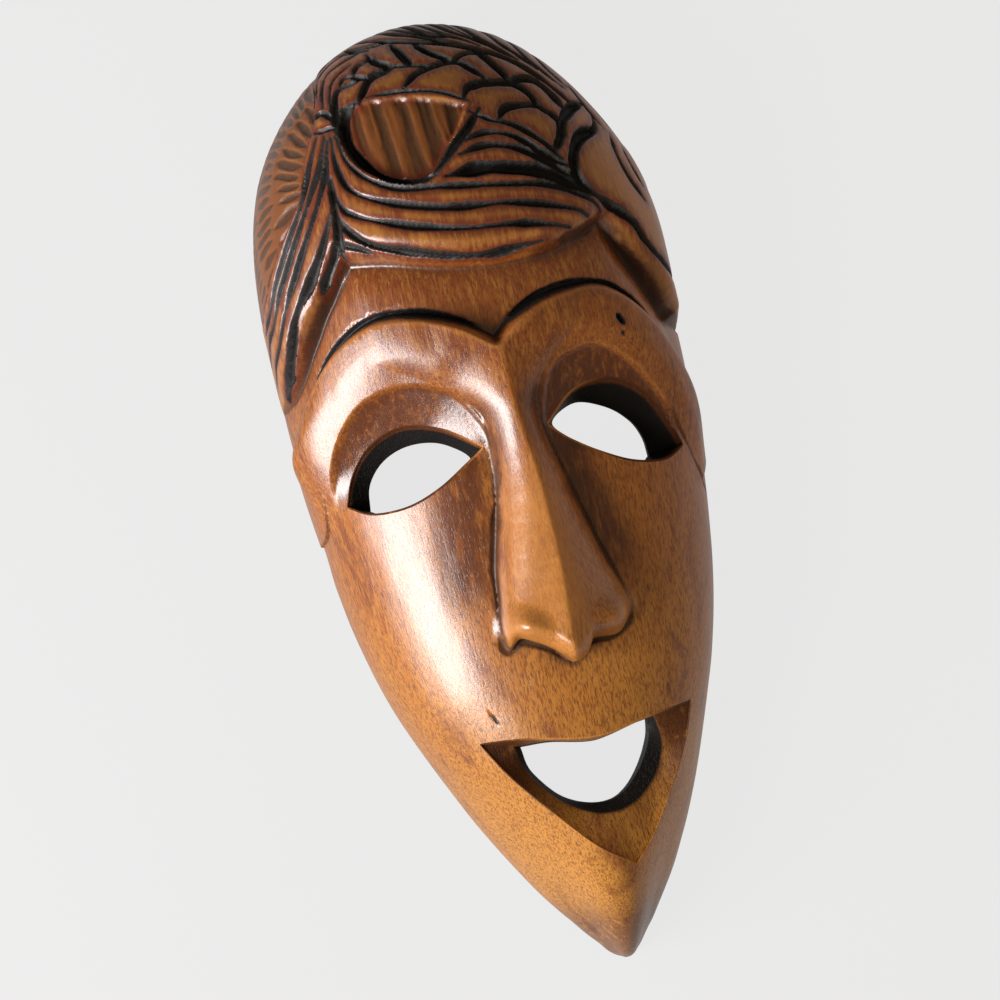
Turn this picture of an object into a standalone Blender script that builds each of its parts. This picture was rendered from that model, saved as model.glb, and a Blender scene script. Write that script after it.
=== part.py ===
"""A carved hardwood wall mask: a long face under a fish that curls over the crown.

The mask lies face up on its flat back rim. X runs to the viewer's right, +Y to the crown,
-Y to the chin and +Z out of the face. The origin is under the middle of the mask, on the
plane of the rim. The mask is one piece of wood, hollowed from behind.

The carving is drawn on a sheet that wraps over the face. A place on the sheet is (p, q):
p runs across from the middle line and q runs along from the middle of the length, both in
millimetres of a mask of the drawn size, so the drawing grows with the mask.
"""
import bmesh
import bpy
import numpy as np

# Driving dimensions, in metres
LENGTH = 0.400
WIDTH = 0.173
DEPTH = 0.084
RIM = 0.012
WALL = 0.013
CHIN_WOOD = 0.026

# Heights and depths of the carving, in metres
NOSE_RISE = 0.026
WING_RISE = 0.005
BROW_RISE = 0.0030
TEMPLE_STEP = 0.0024
SOCKET_DEPTH = 0.0055
LIP_DEPTH = 0.0075
FISH_RISE = 0.0048
GROUND_DEPTH = 0.0032
OVAL_DEPTH = 0.0045
EYE_BEAD_RISE = 0.0012
GROOVE_DEPTH = 0.0026
RIM_FADE = 0.95
CHIN_LEAN = 0.0028
CROWN_LEAN = 0.0030

# Flat that rests on a nail, cut in the crown wall of the hollow, in metres
NAIL_FLAT_WIDTH = 0.018
NAIL_FLAT_HEIGHT = 0.009
NAIL_FLAT_CUT = 0.003

# How far a cutter runs past the wood, and the wood that the rim's flat cut takes off, in metres
CUT_PAST = 0.012
RIM_SPARE = 0.0015

# Mesh: rows of the sheet below and over the crown line, steps across, and the final count
FACE_ROWS = 150
CROWN_ROWS = 150
STEPS_ACROSS = 216
HOLLOW_SHARE = 6
FACES_WANTED = 8100

# The drawn mask, in millimetres: its length, width and depth, and the line where the crown starts
DRAWN = (173.0, 400.0, 84.0)
CHIN_Q = -200.0
CROWN_Q = 88.0
CROWN_WIDTH, CROWN_LENGTH, CROWN_HEIGHT = 85.2, 112.0, 84.0

# Side outline and long profile of the drawn mask, by the distance from the chin tip
WIDTH_STATIONS = (0, 5, 15, 35, 65, 95, 125, 155, 185, 215, 250, 288)
HALF_WIDTHS = (7.0, 8.6, 15.4, 29.0, 45.0, 57.6, 68.4, 75.6, 80.0, 83.2, 85.0, 85.2)
HEIGHT_STATIONS = (0, 2.5, 8, 38, 91, 122, 175, 215, 262, 288)
HEIGHTS = (4, 13, 23, 49, 65, 69, 73, 76, 82, 84)
TIP_ROUND = 5.0

# Fullness of the cross-section: above zero is fuller than an ellipse, below it is a roof
FULL_STATIONS = (0, 30, 60, 100, 140, 288)
FULLNESS = (-0.17, -0.15, -0.08, 0.02, 0.05, 0.05)


def ease(t):
    """A smooth step from 0 to 1."""
    t = np.clip(t, 0.0, 1.0)
    return t * t * (3.0 - 2.0 * t)


def fair(x, stations, values):
    """Read a smooth line through a few stations."""
    s = np.asarray(stations, float)
    v = np.asarray(values, float)
    rise = np.diff(v) / np.diff(s)
    slope = np.concatenate([rise[:1], 0.5 * (rise[1:] + rise[:-1]), rise[-1:]])
    slope[1:-1][rise[1:] * rise[:-1] <= 0] = 0.0
    i = np.clip(np.searchsorted(s, x) - 1, 0, len(s) - 2)
    span = s[i + 1] - s[i]
    t = np.clip((x - s[i]) / span, 0.0, 1.0)
    bump = t * t * (3.0 - 2.0 * t)
    lean = span * (slope[i] * t * (1 - t) ** 2 - slope[i + 1] * t * t * (1 - t))
    return v[i] * (1 - bump) + v[i + 1] * bump + lean


def quarter(a, b):
    """Length of a quarter of an ellipse with half axes a and b."""
    h = ((a - b) / (a + b)) ** 2
    return np.pi * (a + b) * (1 + 3 * h / (10 + np.sqrt(4 - 3 * h))) / 4


def half_width(q):
    """Half width of the drawn mask at the rim."""
    t = q - CHIN_Q
    tip = 1.0 - np.clip(t / TIP_ROUND, 0.0, 1.0)
    return fair(t, WIDTH_STATIONS, HALF_WIDTHS) * np.sqrt(1.0 - tip ** 2)


def height(q):
    """Height of the drawn mask on its middle line."""
    return fair(q - CHIN_Q, HEIGHT_STATIONS, HEIGHTS)


SIDE_GIRTH = quarter(CROWN_WIDTH, CROWN_HEIGHT)
CROWN_GIRTH = quarter(CROWN_LENGTH, CROWN_HEIGHT)
SHEET_TOP = CROWN_Q + CROWN_GIRTH


def girth(q):
    """Distance over the drawn mask from its middle line to its rim, along one row of the sheet."""
    over = np.clip((q - CROWN_Q) / CROWN_GIRTH, 0.0, 1.0)
    return np.where(q > CROWN_Q, SIDE_GIRTH * np.sqrt(1.0 - over ** 2), quarter(half_width(q), height(q)))


def shell(p, q, size, chin_y):
    """Points in metres of the plain form of a given width, length and depth over the sheet."""
    crown = q > CROWN_Q
    over = (q - CROWN_Q) / CROWN_GIRTH
    wide = np.where(crown, CROWN_WIDTH, half_width(q))
    high = np.where(crown, CROWN_HEIGHT, height(q))
    turn = np.where(crown, np.hypot(p / SIDE_GIRTH, over), np.abs(p) / np.maximum(girth(q), 1e-9)) * np.pi / 2
    turn = np.clip(turn, 0.0, np.pi / 2)
    bearing = np.where(crown, np.arctan2(p / SIDE_GIRTH, over), np.sign(p) * np.pi / 2)
    full = 1.0 + fair(q - CHIN_Q, FULL_STATIONS, FULLNESS) * np.sin(2 * turn) ** 2
    x = wide * np.sin(turn) * full * np.sin(bearing)
    along = np.where(crown, CROWN_Q + CROWN_LENGTH * np.sin(turn) * full * np.cos(bearing), q)
    z = high * np.cos(turn) * full
    y = chin_y + (along - CHIN_Q) * size[1] / DRAWN[1]
    lean = CHIN_LEAN * ease((-0.3 - 2 * y / LENGTH) / 0.6) - CROWN_LEAN * ease((2 * y / LENGTH - 0.5) / 0.3)
    return np.stack([x * size[0] / DRAWN[0] + lean, y, z * size[2] / DRAWN[2]], -1)


OUTER = ((WIDTH, LENGTH, DEPTH), -LENGTH / 2)
HOLLOW = ((WIDTH - 2 * RIM, LENGTH - RIM - CHIN_WOOD, DEPTH - WALL), CHIN_WOOD - LENGTH / 2)


def curve(points, steps=6):
    """A smooth line through a few places on the sheet."""
    c = np.asarray(points, float)
    c = np.vstack([2 * c[0] - c[1], c, 2 * c[-1] - c[-2]])
    t = (np.arange(steps) / steps)[:, None]
    spans = [
        0.5 * (2 * b + (c_ - a) * t + (2 * a - 5 * b + 4 * c_ - d) * t ** 2 + (3 * b - a - 3 * c_ + d) * t ** 3)
        for a, b, c_, d in zip(c[:-3], c[1:-2], c[2:-1], c[3:])
    ]
    return np.vstack(spans + [c[-2:-1]])


def arc(p, q, across, along, start, end):
    """Part of an ellipse on the sheet, from one angle to another, in degrees."""
    a = np.radians(np.linspace(start, end, 16))
    return np.column_stack([p + across * np.cos(a), q + along * np.sin(a)])


def reach(p, q, line):
    """Distance from places on the sheet to a line, and the share of the line where it is nearest."""
    best = np.full(p.shape, np.inf)
    share = np.zeros(p.shape)
    steps = np.hypot(*np.diff(line, axis=0).T)
    done = np.concatenate([[0.0], np.cumsum(steps)]) / steps.sum()
    for a, b, s0, s1 in zip(line[:-1], line[1:], done[:-1], done[1:]):
        d = b - a
        t = np.clip(((p - a[0]) * d[0] + (q - a[1]) * d[1]) / (d @ d), 0.0, 1.0)
        far = np.hypot(p - a[0] - t * d[0], q - a[1] - t * d[1])
        near = far < best
        best = np.where(near, far, best)
        share = np.where(near, s0 + t * (s1 - s0), share)
    return best, share


def depth_inside(p, q, outline):
    """Distance inside a closed outline on the sheet, below zero outside it."""
    loop = np.vstack([outline, outline[:1]])
    odd = np.zeros(p.shape, bool)
    for (ap, aq), (bp, bq) in zip(loop[:-1], loop[1:]):
        crosses = (aq > q) != (bq > q)
        slope = (bp - ap) / np.where(bq == aq, 1e-9, bq - aq)
        odd ^= crosses & (p < ap + (q - aq) * slope)
    far, _ = reach(p, q, loop)
    return np.where(odd, far, -far)


# Lower border of the raised fish, from the left side to the right side of the mask
FISH_BORDER = (
    (-150, 55), (-110, 55), (-92, 62), (-77, 73), (-62, 89), (-49, 101), (-35, 98.5), (-15, 93), (5, 88),
    (25, 87.5), (42, 91), (57, 97), (62, 88), (78, 66), (86, 58), (95, 53), (150, 50),
)
# Sunken ground left of the tail, above the back of the fish, and inside its curl
LEFT_GROUND = (
    (-51, 240), (-52.5, 200), (-52, 165), (-54, 152), (-60, 138.5), (-72, 123.5), (-88, 109), (-104, 99),
    (-125, 96), (-160, 96), (-160, 240),
)
BACK_GROUND = ((-51, 240), (-49, 186), (-40, 187), (-30, 192), (-20, 198), (-19, 240))
CURL_GROUND = (
    (-37, 150), (-30, 154), (-10, 152), (13, 144), (7, 136), (-8, 122), (-20, 124), (-30, 131), (-36, 141),
)
# Step down from the left brow to the cheek, and how far down the cheek it evens out
LEFT_TEMPLE = ((-66, 38), (-71, 33), (-76, 25), (-82, 15.5), (-91.5, 3), (-104, -1), (-125, -3))
TEMPLE_REACH = 20.0
# Carver's grooves, each with its width and a few places that it runs through
GROOVES = (
    ("left brow", 3.4, ((0, 61), (-12, 70), (-28, 76.5), (-44, 78), (-61, 71.5), (-78, 58), (-96, 42), (-112, 33))),
    ("right brow", 3.4, ((0, 61), (10, 69), (25, 73.5), (42, 74.5), (56, 69.5), (67, 58), (80, 41), (93, 24))),
    ("left temple", 2.6, LEFT_TEMPLE),
    ("right temple", 3.4, ((61, 32), (66, 21), (71.5, 6), (83, -10), (96, -22), (110, -28))),
    ("crown edge", 2.6, ((-54, 215), (-53, 190), (-52.5, 165), (-54, 150))),
    ("tail parting", 3.4, ((-48, 134), (-49, 118), (-50, 101))),
    ("tail knot", 1.8, ((-52, 153), (-45, 152), (-38, 149), (-41, 156), (-46, 161.5), (-52, 164))),
    ("belly", 2.8, ((-40, 150), (-39.5, 137), (-33, 127.5), (-20, 120.5), (5, 115), (30, 111), (53, 104))),
    ("fin foot", 3.8, ((-6, 120), (10, 121.5), (28, 118.5), (42, 113), (54, 104))),
    ("fin top", 2.8, ((8, 138), (20, 138.5), (32, 132.5), (43, 124))),
    ("gill", 3.0, ((43, 124), (47.5, 130.5), (51.5, 140), (61, 143.5), (66, 150))),
    ("gill cover", 3.4, ((49, 112), (50, 121), (56, 130), (67, 135), (73, 144))),
    ("jaw", 3.2, ((60, 102), (70, 96), (81, 85.5), (92, 80), (108, 77.5))),
    ("back", 2.6, ((-8, 190), (10, 183), (28, 175.5), (42, 166), (52, 157), (62, 149))),
    ("fin base", 2.2, ((-14, 199), (-2, 191.5), (18, 185.5), (34, 177.5), (48, 168), (55, 160))),
    ("scale 1", 2.8, arc(-34, 162, 7, 8, 195, 25)),
    ("scale 2", 3.0, arc(-16, 158, 12.5, 13.5, 190, 35)),
    ("scale 3", 3.2, arc(4, 153, 17, 13.5, 175, 15)),
    ("scale 4", 3.4, arc(26, 142, 15, 13, 160, 0)),
    ("scale 5", 3.0, arc(33, 131, 13.5, 12.5, 150, -35)),
    ("scale 6", 2.4, arc(-32, 173, 7, 8, 190, 10)),
    ("scale 7", 2.8, ((-22, 186), (-18, 178), (-13, 172))),
    ("scale 8", 2.8, ((-10, 188), (-8, 180), (-5.5, 170))),
    ("scale 9", 3.2, ((2, 184), (5, 176), (11, 167), (19, 171.5), (27, 168), (30, 160), (33, 154))),
    ("scale 10", 3.2, ((46, 163), (48, 153), (40, 156), (34, 154))),
    ("scale 11", 2.8, ((40, 154), (48, 152), (52, 142))),
    ("fish eye", 2.6, arc(95, 122, 19, 15, 105, 245)),
    ("pupil", 2.6, arc(97, 122, 9.5, 8, 110, 280)),
)
# Fans of rays: the two edge rays, how the rays share the space between them, and their width
FANS = (
    ("left tail", 2.6, (0.0, 0.3, 0.62, 1.0),
     ((-52.5, 149), (-60, 134), (-74, 119.5), (-92, 100.5), (-113, 87), (-130, 85)),
     ((-48.5, 128), (-55, 112.5), (-66, 100), (-84, 80), (-100, 65), (-104, 63))),
    ("right tail", 2.8, (0.33, 0.66, 1.0),
     ((-40, 150), (-38, 133), (-20, 120.5), (10, 114.5), (48, 104)),
     ((-48, 133), (-46.5, 115), (-32, 103), (-5, 95), (10, 91.5))),
    ("fin rays", 2.2, (0.0, 1.0),
     ((11, 133.5), (20, 132), (31, 127.5), (46, 116)),
     ((5, 128), (17, 128), (29, 123.5), (42, 114.5))),
    ("back fin", 3.0, (0.0, 0.26, 0.5, 0.74, 1.0),
     ((-22, 225), (-17, 206), (-9, 195)),
     ((46, 202), (42.5, 188), (49, 172))),
)
# Ridges beside the grooves of the brow, which run down to the temples
BROWS = (
    ((-3, 54), (-14, 62), (-28, 66), (-44, 65.5), (-60, 58), (-74, 46), (-86, 31), (-95, 15), (-102, 0)),
    ((5, 54), (15, 61), (28, 64), (42, 62.5), (55, 56), (67, 43), (78, 27), (87, 9), (95, -10)),
)
BROW_BAND = 9.5
# Upper edge of each eye socket, drawn from the nose round to the temple, with the lower lid's height
SOCKETS = (
    (((-9, 10), (-10, 27), (-20, 44), (-36, 51), (-52, 49), (-65, 39), (-75, 22), (-79, 6)), 7.0),
    (((12, 8), (11, 26), (18, 45), (34, 51), (46, 46), (59, 31), (69, 14), (76, -2)), 4.0),
)

# Openings, from the face down to the hollow: for each level its depth below the face in metres,
# the corners of its outline, and the outline, whose points match those of the level above
LEFT_EYE = (
    (0.0, (0, 5), ((-72, 11), (-65, 22), (-54, 31.5), (-40, 35.5), (-26, 31), (-13, 21),
                   (-20, 16.5), (-32, 9.5), (-45, 5.5), (-60, 6))),
    (WALL, (0,), ((-60.5, 8.5), (-58, 17), (-50, 25), (-39, 28.5), (-27, 26.5), (-18.5, 19.5),
                  (-23, 16), (-33, 10), (-45, 6), (-55, 6))),
)
RIGHT_EYE = (
    (0.0, (0, 5), ((71, 4.5), (64, 16), (54.5, 28.5), (41, 36), (26, 34.5), (13, 24),
                   (20, 17), (30, 9.5), (43, 3), (58, 0.8))),
    (WALL, (0,), ((53, 3), (52, 10.5), (47.5, 18.5), (38, 26), (26, 30), (16, 24.5),
                  (22, 16.5), (31, 9), (42, 3), (49, 1.2))),
)
MOUTH = (
    (0.0, (0, 4, 8), ((-43.5, -92.5), (-25, -93.7), (4, -99), (29, -97), (53.5, -97), (50.5, -111), (41, -127),
                      (26, -143), (10, -153.5), (-7, -142), (-23, -125), (-36, -107.5))),
    (LIP_DEPTH, (0, 4), ((-29.7, -96.5), (-15, -97), (4, -101), (22, -99), (33, -98.5), (38, -112), (34.5, -122),
                         (23, -130), (8, -132.8), (-5, -130), (-19, -121), (-28.5, -107))),
    (WALL, (0, 4), ((-26.5, -98), (-14, -98.5), (4, -102), (20, -100), (30.3, -99.5), (29.5, -108), (24, -117),
                    (15.5, -124), (6, -127.3), (-6, -126), (-17, -120.5), (-25.5, -108.5))),
)

# The nose: its ridge and the reach of its sides by the distance below the brow, its height,
# its foot from side to side, and its wings as places with their radius
NOSE_TOP, NOSE_TIP = 58.0, -62.0
NOSE_STATIONS = (0, 0.25, 0.5, 0.75, 0.9, 1.0)
NOSE_RIDGE = (0, 1, 3, 2.5, 0.8, 0.5)
NOSE_LEFT = (8, 10, 15.5, 21.5, 22, 20.5)
NOSE_RIGHT = (7, 8.5, 12.3, 20, 26.5, 25)
NOSE_HEIGHTS = (0.0, 0.30, 0.52, 0.80, 0.97, 1.0)
NOSE_FOOT_ACROSS = (-34, -24, -20, -15, -11, -5, 1.5, 6, 10, 20, 27, 36)
NOSE_FOOT = (-50, -56, -58, -54, -56, -60.5, -67, -65.5, -60.5, -61.5, -56, -50)
NOSE_ROUND = 7.0
NOSE_WINGS = ((-14, -50, 6.5), (20, -54, 8.0))
LEFT_CREST, RIGHT_CREST = 6.0, 1.3


def nose(p, q):
    """Height of the nose: a wedge that rises to its tip, with a wing at each side."""
    down = np.clip((NOSE_TOP - q) / (NOSE_TOP - NOSE_TIP), 0.0, 1.0)
    aside = p - fair(down, NOSE_STATIONS, NOSE_RIDGE)
    reach_aside = np.where(aside < 0, fair(down, NOSE_STATIONS, NOSE_LEFT), fair(down, NOSE_STATIONS, NOSE_RIGHT))
    u = np.clip(np.abs(aside) / reach_aside, 0.0, 1.0)
    section = 1.0 - u ** np.where(aside < 0, LEFT_CREST, RIGHT_CREST)
    wedge = NOSE_RISE * fair(down, NOSE_STATIONS, NOSE_HEIGHTS) * section
    for wp, wq, radius in NOSE_WINGS:
        wedge = wedge + WING_RISE * (1.0 - ease(np.hypot(p - wp, q - wq) / radius / 1.5))
    over_foot = np.clip((q - fair(p, NOSE_FOOT_ACROSS, NOSE_FOOT)) / NOSE_ROUND, 0.0, 1.0)
    return wedge * np.sqrt(1.0 - (1.0 - over_foot) ** 2)


def face_relief(p, q):
    """Height of brows, sockets and nose over the plain form."""
    rise = nose(p, q)
    for points in BROWS:
        far, share = reach(p, q, curve(points))
        band = np.clip(1.0 - (far / BROW_BAND) ** 2, 0.0, 1.0) ** 1.5
        band = band * ease(share / 0.1) * ease((1.0 - share) / 0.04) * (1.0 - 0.6 * ease((share - 0.55) / 0.35))
        rise = np.maximum(rise, BROW_RISE * band)
    for points, lid in SOCKETS:
        edge = curve(points)
        inside = depth_inside(p, q, edge)
        sink = ease(inside / 8.0) * ease((q - lid) / 20.0)
        rise = rise - SOCKET_DEPTH * sink
    line = curve(LEFT_TEMPLE)
    far, share = reach(p, q, line)
    below = (p < line[0, 0]) & (q < np.interp(-p, -line[:, 0], line[:, 1]))
    return rise - TEMPLE_STEP * below * (1.0 - ease(far / TEMPLE_REACH)) * ease(share / 0.45)


def fish_relief(p, q):
    """Height of the fish over the plain form, with the ground round it and inside its curl."""
    border = np.asarray(FISH_BORDER, float)
    far, _ = reach(p, q, border)
    above = np.where(q > np.interp(p, border[:, 0], border[:, 1]), far, -far)
    rise = FISH_RISE * ease((above + 1.0) / 5.0)
    for outline, drop, edge in (
        (LEFT_GROUND, GROUND_DEPTH, 2.5), (BACK_GROUND, GROUND_DEPTH, 3.0), (CURL_GROUND, OVAL_DEPTH, 2.5),
    ):
        rise = rise - drop * ease(depth_inside(p, q, np.asarray(outline, float)) / edge + 0.3)
    bead = 1.0 - np.hypot((p - 97) / 16.0, (q - 122) / 13.0)
    rise = rise + EYE_BEAD_RISE * ease(bead * 3.0)
    to_rim = np.where(q > CROWN_Q, np.hypot(p / SIDE_GIRTH, (q - CROWN_Q) / CROWN_GIRTH), np.abs(p) / SIDE_GIRTH)
    return rise * (1.0 - RIM_FADE * ease((to_rim - 0.6) / 0.3))


def groove_depth(p, q):
    """Depth of the grooves, a V that thins to nothing at each end of its line."""
    lines = [(width, curve(points)) for _, width, points in GROOVES]
    for _, width, shares, first, last in FANS:
        one = np.asarray(first, float)
        other = np.asarray(last, float)
        count = min(len(one), len(other))
        one, other = one[:count], other[:count]
        lines += [(width, curve(one + (other - one) * share)) for share in shares]
    deepest = np.zeros(p.shape)
    for width, line in lines:
        low, high = line.min(axis=0) - width, line.max(axis=0) + width
        close = (p > low[0]) & (p < high[0]) & (q > low[1]) & (q < high[1])
        far, share = reach(p[close], q[close], line)
        half = 0.5 * width * (0.35 + 0.65 * ease(np.minimum(share, 1.0 - share) / 0.12))
        cut = GROOVE_DEPTH * np.clip(1.0 - far / half, 0.0, 1.0) * half / 1.5
        deepest[close] = np.maximum(deepest[close], cut)
    return deepest


def carve(p, q):
    """How far the carved wood stands out from the plain form, in metres."""
    return face_relief(p, q) + fish_relief(p, q) - groove_depth(p, q)


def sheet_grid(rows, steps):
    """Places on the sheet, one row for each value of rows and the given steps across it."""
    share = np.linspace(-1.0, 1.0, steps + 1)
    p = girth(rows)[:, None] * share[None, :]
    return p, np.repeat(rows[:, None], steps + 1, axis=1)


def outward(points):
    """Unit normals of a grid of points."""
    across = np.gradient(points, axis=1)
    along = np.gradient(points, axis=0)
    normal = np.cross(across, along)
    return normal / np.maximum(np.linalg.norm(normal, axis=-1, keepdims=True), 1e-12)


def add_layer(mesh, points, inward):
    """Add one grid of points as faces. It closes on itself at the chin and meets in a point at the crown."""
    rows, columns = points.shape[:2]
    middle = columns // 2
    verts = []
    for r in range(rows):
        line = [mesh.verts.new(points[r, c]) for c in range(columns if r < rows - 1 else 1)]
        if r == 0:
            for extra in line[middle + 1:]:
                mesh.verts.remove(extra)
            line = line[:middle + 1] + line[:middle][::-1]
        verts.append(line if r < rows - 1 else line * columns)
    for r in range(rows - 1):
        for c in range(columns - 1):
            ring = [verts[r][c], verts[r][c + 1], verts[r + 1][c + 1], verts[r + 1][c]]
            kept = [v for i, v in enumerate(ring) if v is not ring[i - 1]]
            mesh.faces.new(kept[::-1] if inward else kept)
    left = [verts[r][0] for r in range(rows)]
    right = [verts[r][-1] for r in range(rows - 2, 0, -1)]
    return left + right


def join_rims(mesh, outer, inner):
    """Close the flat rim between the edge of the face and the coarser edge of the hollow."""
    ratio = len(outer) // len(inner)
    for i, here in enumerate(inner):
        after = inner[(i + 1) % len(inner)]
        run = [outer[(i * ratio + k) % len(outer)] for k in range(ratio + 1)]
        mesh.faces.new(run + [after, here])


def carved_body():
    """The mask without its openings: carved face, flat rim and plain hollow."""
    rows = np.concatenate([
        np.linspace(CHIN_Q, 48.0, FACE_ROWS, endpoint=False), np.linspace(48.0, SHEET_TOP, CROWN_ROWS + 1),
    ])
    p, q = sheet_grid(rows, STEPS_ACROSS)
    plain = shell(p, q, *OUTER)
    face = plain + outward(plain) * carve(p, q)[..., None]
    face[0] = plain[0]
    face[:, 0, 2] = face[:, -1, 2] = face[-1, :, 2] = -RIM_SPARE
    p, q = sheet_grid(rows[::HOLLOW_SHARE], STEPS_ACROSS // HOLLOW_SHARE)
    hollow = shell(p, q, *HOLLOW)
    hollow[:, 0, 2] = hollow[:, -1, 2] = hollow[-1, :, 2] = -RIM_SPARE
    mesh = bmesh.new()
    outer = add_layer(mesh, face, inward=False)
    inner = add_layer(mesh, hollow, inward=True)
    join_rims(mesh, outer, inner)
    return mesh


def opening_ring(points, corners, steps=4):
    """A closed outline on the sheet, smooth between its corners."""
    count = len(points)
    parts = []
    for start, end in zip(corners, corners[1:] + (corners[0] + count,)):
        piece = [points[i % count] for i in range(start, end + 1)]
        parts.append(curve(piece, steps)[:-1])
    return np.vstack(parts)


def opening_cutter(levels):
    """A cutter through the wall: above the face, down its levels and on through the hollow."""
    rings = []
    for depth, corners, outline in levels:
        ring = opening_ring(outline, corners)
        place = shell(ring[:, 0], ring[:, 1], *OUTER)
        if not rings:
            rings.append(place + np.array([0.0, 0.0, 2.0 * CUT_PAST]))
            place[:, 2] += carve(ring[:, 0], ring[:, 1])
        place[:, 2] -= depth
        rings.append(place)
    rings.append(rings[-1] * np.array([1.0, 1.0, 0.0]) - np.array([0.0, 0.0, CUT_PAST]))
    mesh = bmesh.new()
    loops = [[mesh.verts.new(point) for point in ring] for ring in rings]
    count = len(loops[0])
    for upper, lower in zip(loops[:-1], loops[1:]):
        for i in range(count):
            j = (i + 1) % count
            mesh.faces.new([upper[i], upper[j], lower[j], lower[i]])
    mesh.faces.new(loops[0][::-1])
    mesh.faces.new(loops[-1])
    bmesh.ops.recalc_face_normals(mesh, faces=mesh.faces)
    bmesh.ops.triangulate(mesh, faces=mesh.faces)
    return mesh


def block(low, high):
    """A box between two corners."""
    mesh = bmesh.new()
    bmesh.ops.create_cube(mesh, size=1.0)
    low, high = np.array(low), np.array(high)
    for v in mesh.verts:
        v.co = (low + high) / 2 + np.array(v.co) * (high - low)
    return mesh


def rim_cutter():
    """A block that leaves the rim flat."""
    return block((-WIDTH, -LENGTH, -CUT_PAST), (WIDTH, LENGTH, 0.0))


def nail_flat_cutter():
    """A block that leaves a small flat on the crown wall of the hollow, just inside the rim."""
    crown = LENGTH / 2 - RIM
    return block(
        (-NAIL_FLAT_WIDTH / 2, crown - CUT_PAST, -CUT_PAST),
        (NAIL_FLAT_WIDTH / 2, crown + NAIL_FLAT_CUT, NAIL_FLAT_HEIGHT),
    )


def wood():
    """Oiled brown hardwood."""
    material = bpy.data.materials.new("carved wood")
    material.use_nodes = True
    shader = material.node_tree.nodes["Principled BSDF"]
    shader.inputs["Base Color"].default_value = (0.33, 0.14, 0.045, 1.0)
    shader.inputs["Roughness"].default_value = 0.38
    shader.inputs["Metallic"].default_value = 0.0
    return material


def place(name, mesh):
    """Turn a bmesh into an object of the scene."""
    data = bpy.data.meshes.new(name)
    mesh.to_mesh(data)
    mesh.free()
    item = bpy.data.objects.new(name, data)
    bpy.context.scene.collection.objects.link(item)
    return item


def cut(target, name, mesh):
    """Cut a shape out of the target."""
    cutter = place(name, mesh)
    cutter.hide_render = True
    cutter.display_type = "WIRE"
    boolean = target.modifiers.new(name, "BOOLEAN")
    boolean.operation = "DIFFERENCE"
    boolean.solver = "EXACT"
    boolean.object = cutter


def centre_on_origin(mask):
    """Put the middle of the mask's plan over the origin, with the cutters kept in step."""
    points = np.empty(3 * len(mask.data.vertices))
    mask.data.vertices.foreach_get("co", points)
    points = points.reshape(-1, 3)
    middle = (points.min(axis=0) + points.max(axis=0)) / 2
    for item in bpy.data.objects:
        item.location = (-middle[0], -middle[1], 0.0)


def build():
    """Make the mask."""
    for item in list(bpy.data.objects):
        bpy.data.objects.remove(item, do_unlink=True)
    mask = place("carved_mask", carved_body())
    mask.data.materials.append(wood())
    mask.data.shade_smooth()
    sides = sum(len(face.vertices) - 2 for face in mask.data.polygons)
    thin = mask.modifiers.new("fewer faces", "DECIMATE")
    thin.ratio = FACES_WANTED / sides
    cut(mask, "rim cutter", rim_cutter())
    cut(mask, "left eye cutter", opening_cutter(LEFT_EYE))
    cut(mask, "right eye cutter", opening_cutter(RIGHT_EYE))
    cut(mask, "mouth cutter", opening_cutter(MOUTH))
    cut(mask, "nail flat cutter", nail_flat_cutter())
    centre_on_origin(mask)


build()
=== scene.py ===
"""Looks of the carved wall mask: its face, the fish over its crown, its wood and a plain studio.

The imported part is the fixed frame: the mask lies face up on its flat rim, with X to the viewer's
right, +Y to the crown and +Z out of the face, in metres. The carving is drawn on a sheet that
wraps over the plain form of the mask. A place on the sheet is (p, q): p runs across from the
middle line and q runs along from the middle of the length, both in millimetres.
"""
import logging
import math
from dataclasses import dataclass, field
from enum import Enum

import bpy
import numpy as np
from mathutils import Matrix, Vector
from mathutils.bvhtree import BVHTree
from mathutils.kdtree import KDTree


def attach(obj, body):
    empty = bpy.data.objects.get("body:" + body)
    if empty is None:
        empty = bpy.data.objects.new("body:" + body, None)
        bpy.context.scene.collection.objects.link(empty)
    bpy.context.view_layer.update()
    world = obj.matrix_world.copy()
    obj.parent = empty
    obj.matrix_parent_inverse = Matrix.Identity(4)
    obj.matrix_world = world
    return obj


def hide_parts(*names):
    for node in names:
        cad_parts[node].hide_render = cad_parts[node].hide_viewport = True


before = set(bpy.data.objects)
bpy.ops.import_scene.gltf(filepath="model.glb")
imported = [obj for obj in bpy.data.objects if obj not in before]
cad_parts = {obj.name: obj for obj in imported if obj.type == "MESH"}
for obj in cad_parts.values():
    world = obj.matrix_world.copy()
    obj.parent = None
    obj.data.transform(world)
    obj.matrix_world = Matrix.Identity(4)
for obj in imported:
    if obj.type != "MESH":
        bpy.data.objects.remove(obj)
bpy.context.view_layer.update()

LOG = logging.getLogger("fish mask")
MM = 0.001
FAR_OFF = 1000.0
UNCUT = -9.0

Array = np.ndarray
Socket = bpy.types.NodeSocket
Row = tuple[float, ...]
Pair = tuple[float, float]
Triple = tuple[float, float, float]
Places = tuple[Pair, ...]
Cuts = tuple[tuple[float, Places], ...]


class Finish(Enum):
    """The finishes of the mask, in the order of its material slots."""

    FACE = 0
    HOLLOW = 1
    EYE_WALL = 2
    LIP = 3
    CUT = 4


class Tint(Enum):
    """Values that the mesh carries for its finishes."""

    GROOVE = "groove_mm"
    CREASE = "crease_mm"
    FISH = "fish"
    GROUND = "ground"
    STROKE = "stroke"
    WEAR_AND_SHADING = "wear"
    RECESS = "recess_mm"
    SHADE_AND_TONE = "patina"


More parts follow.
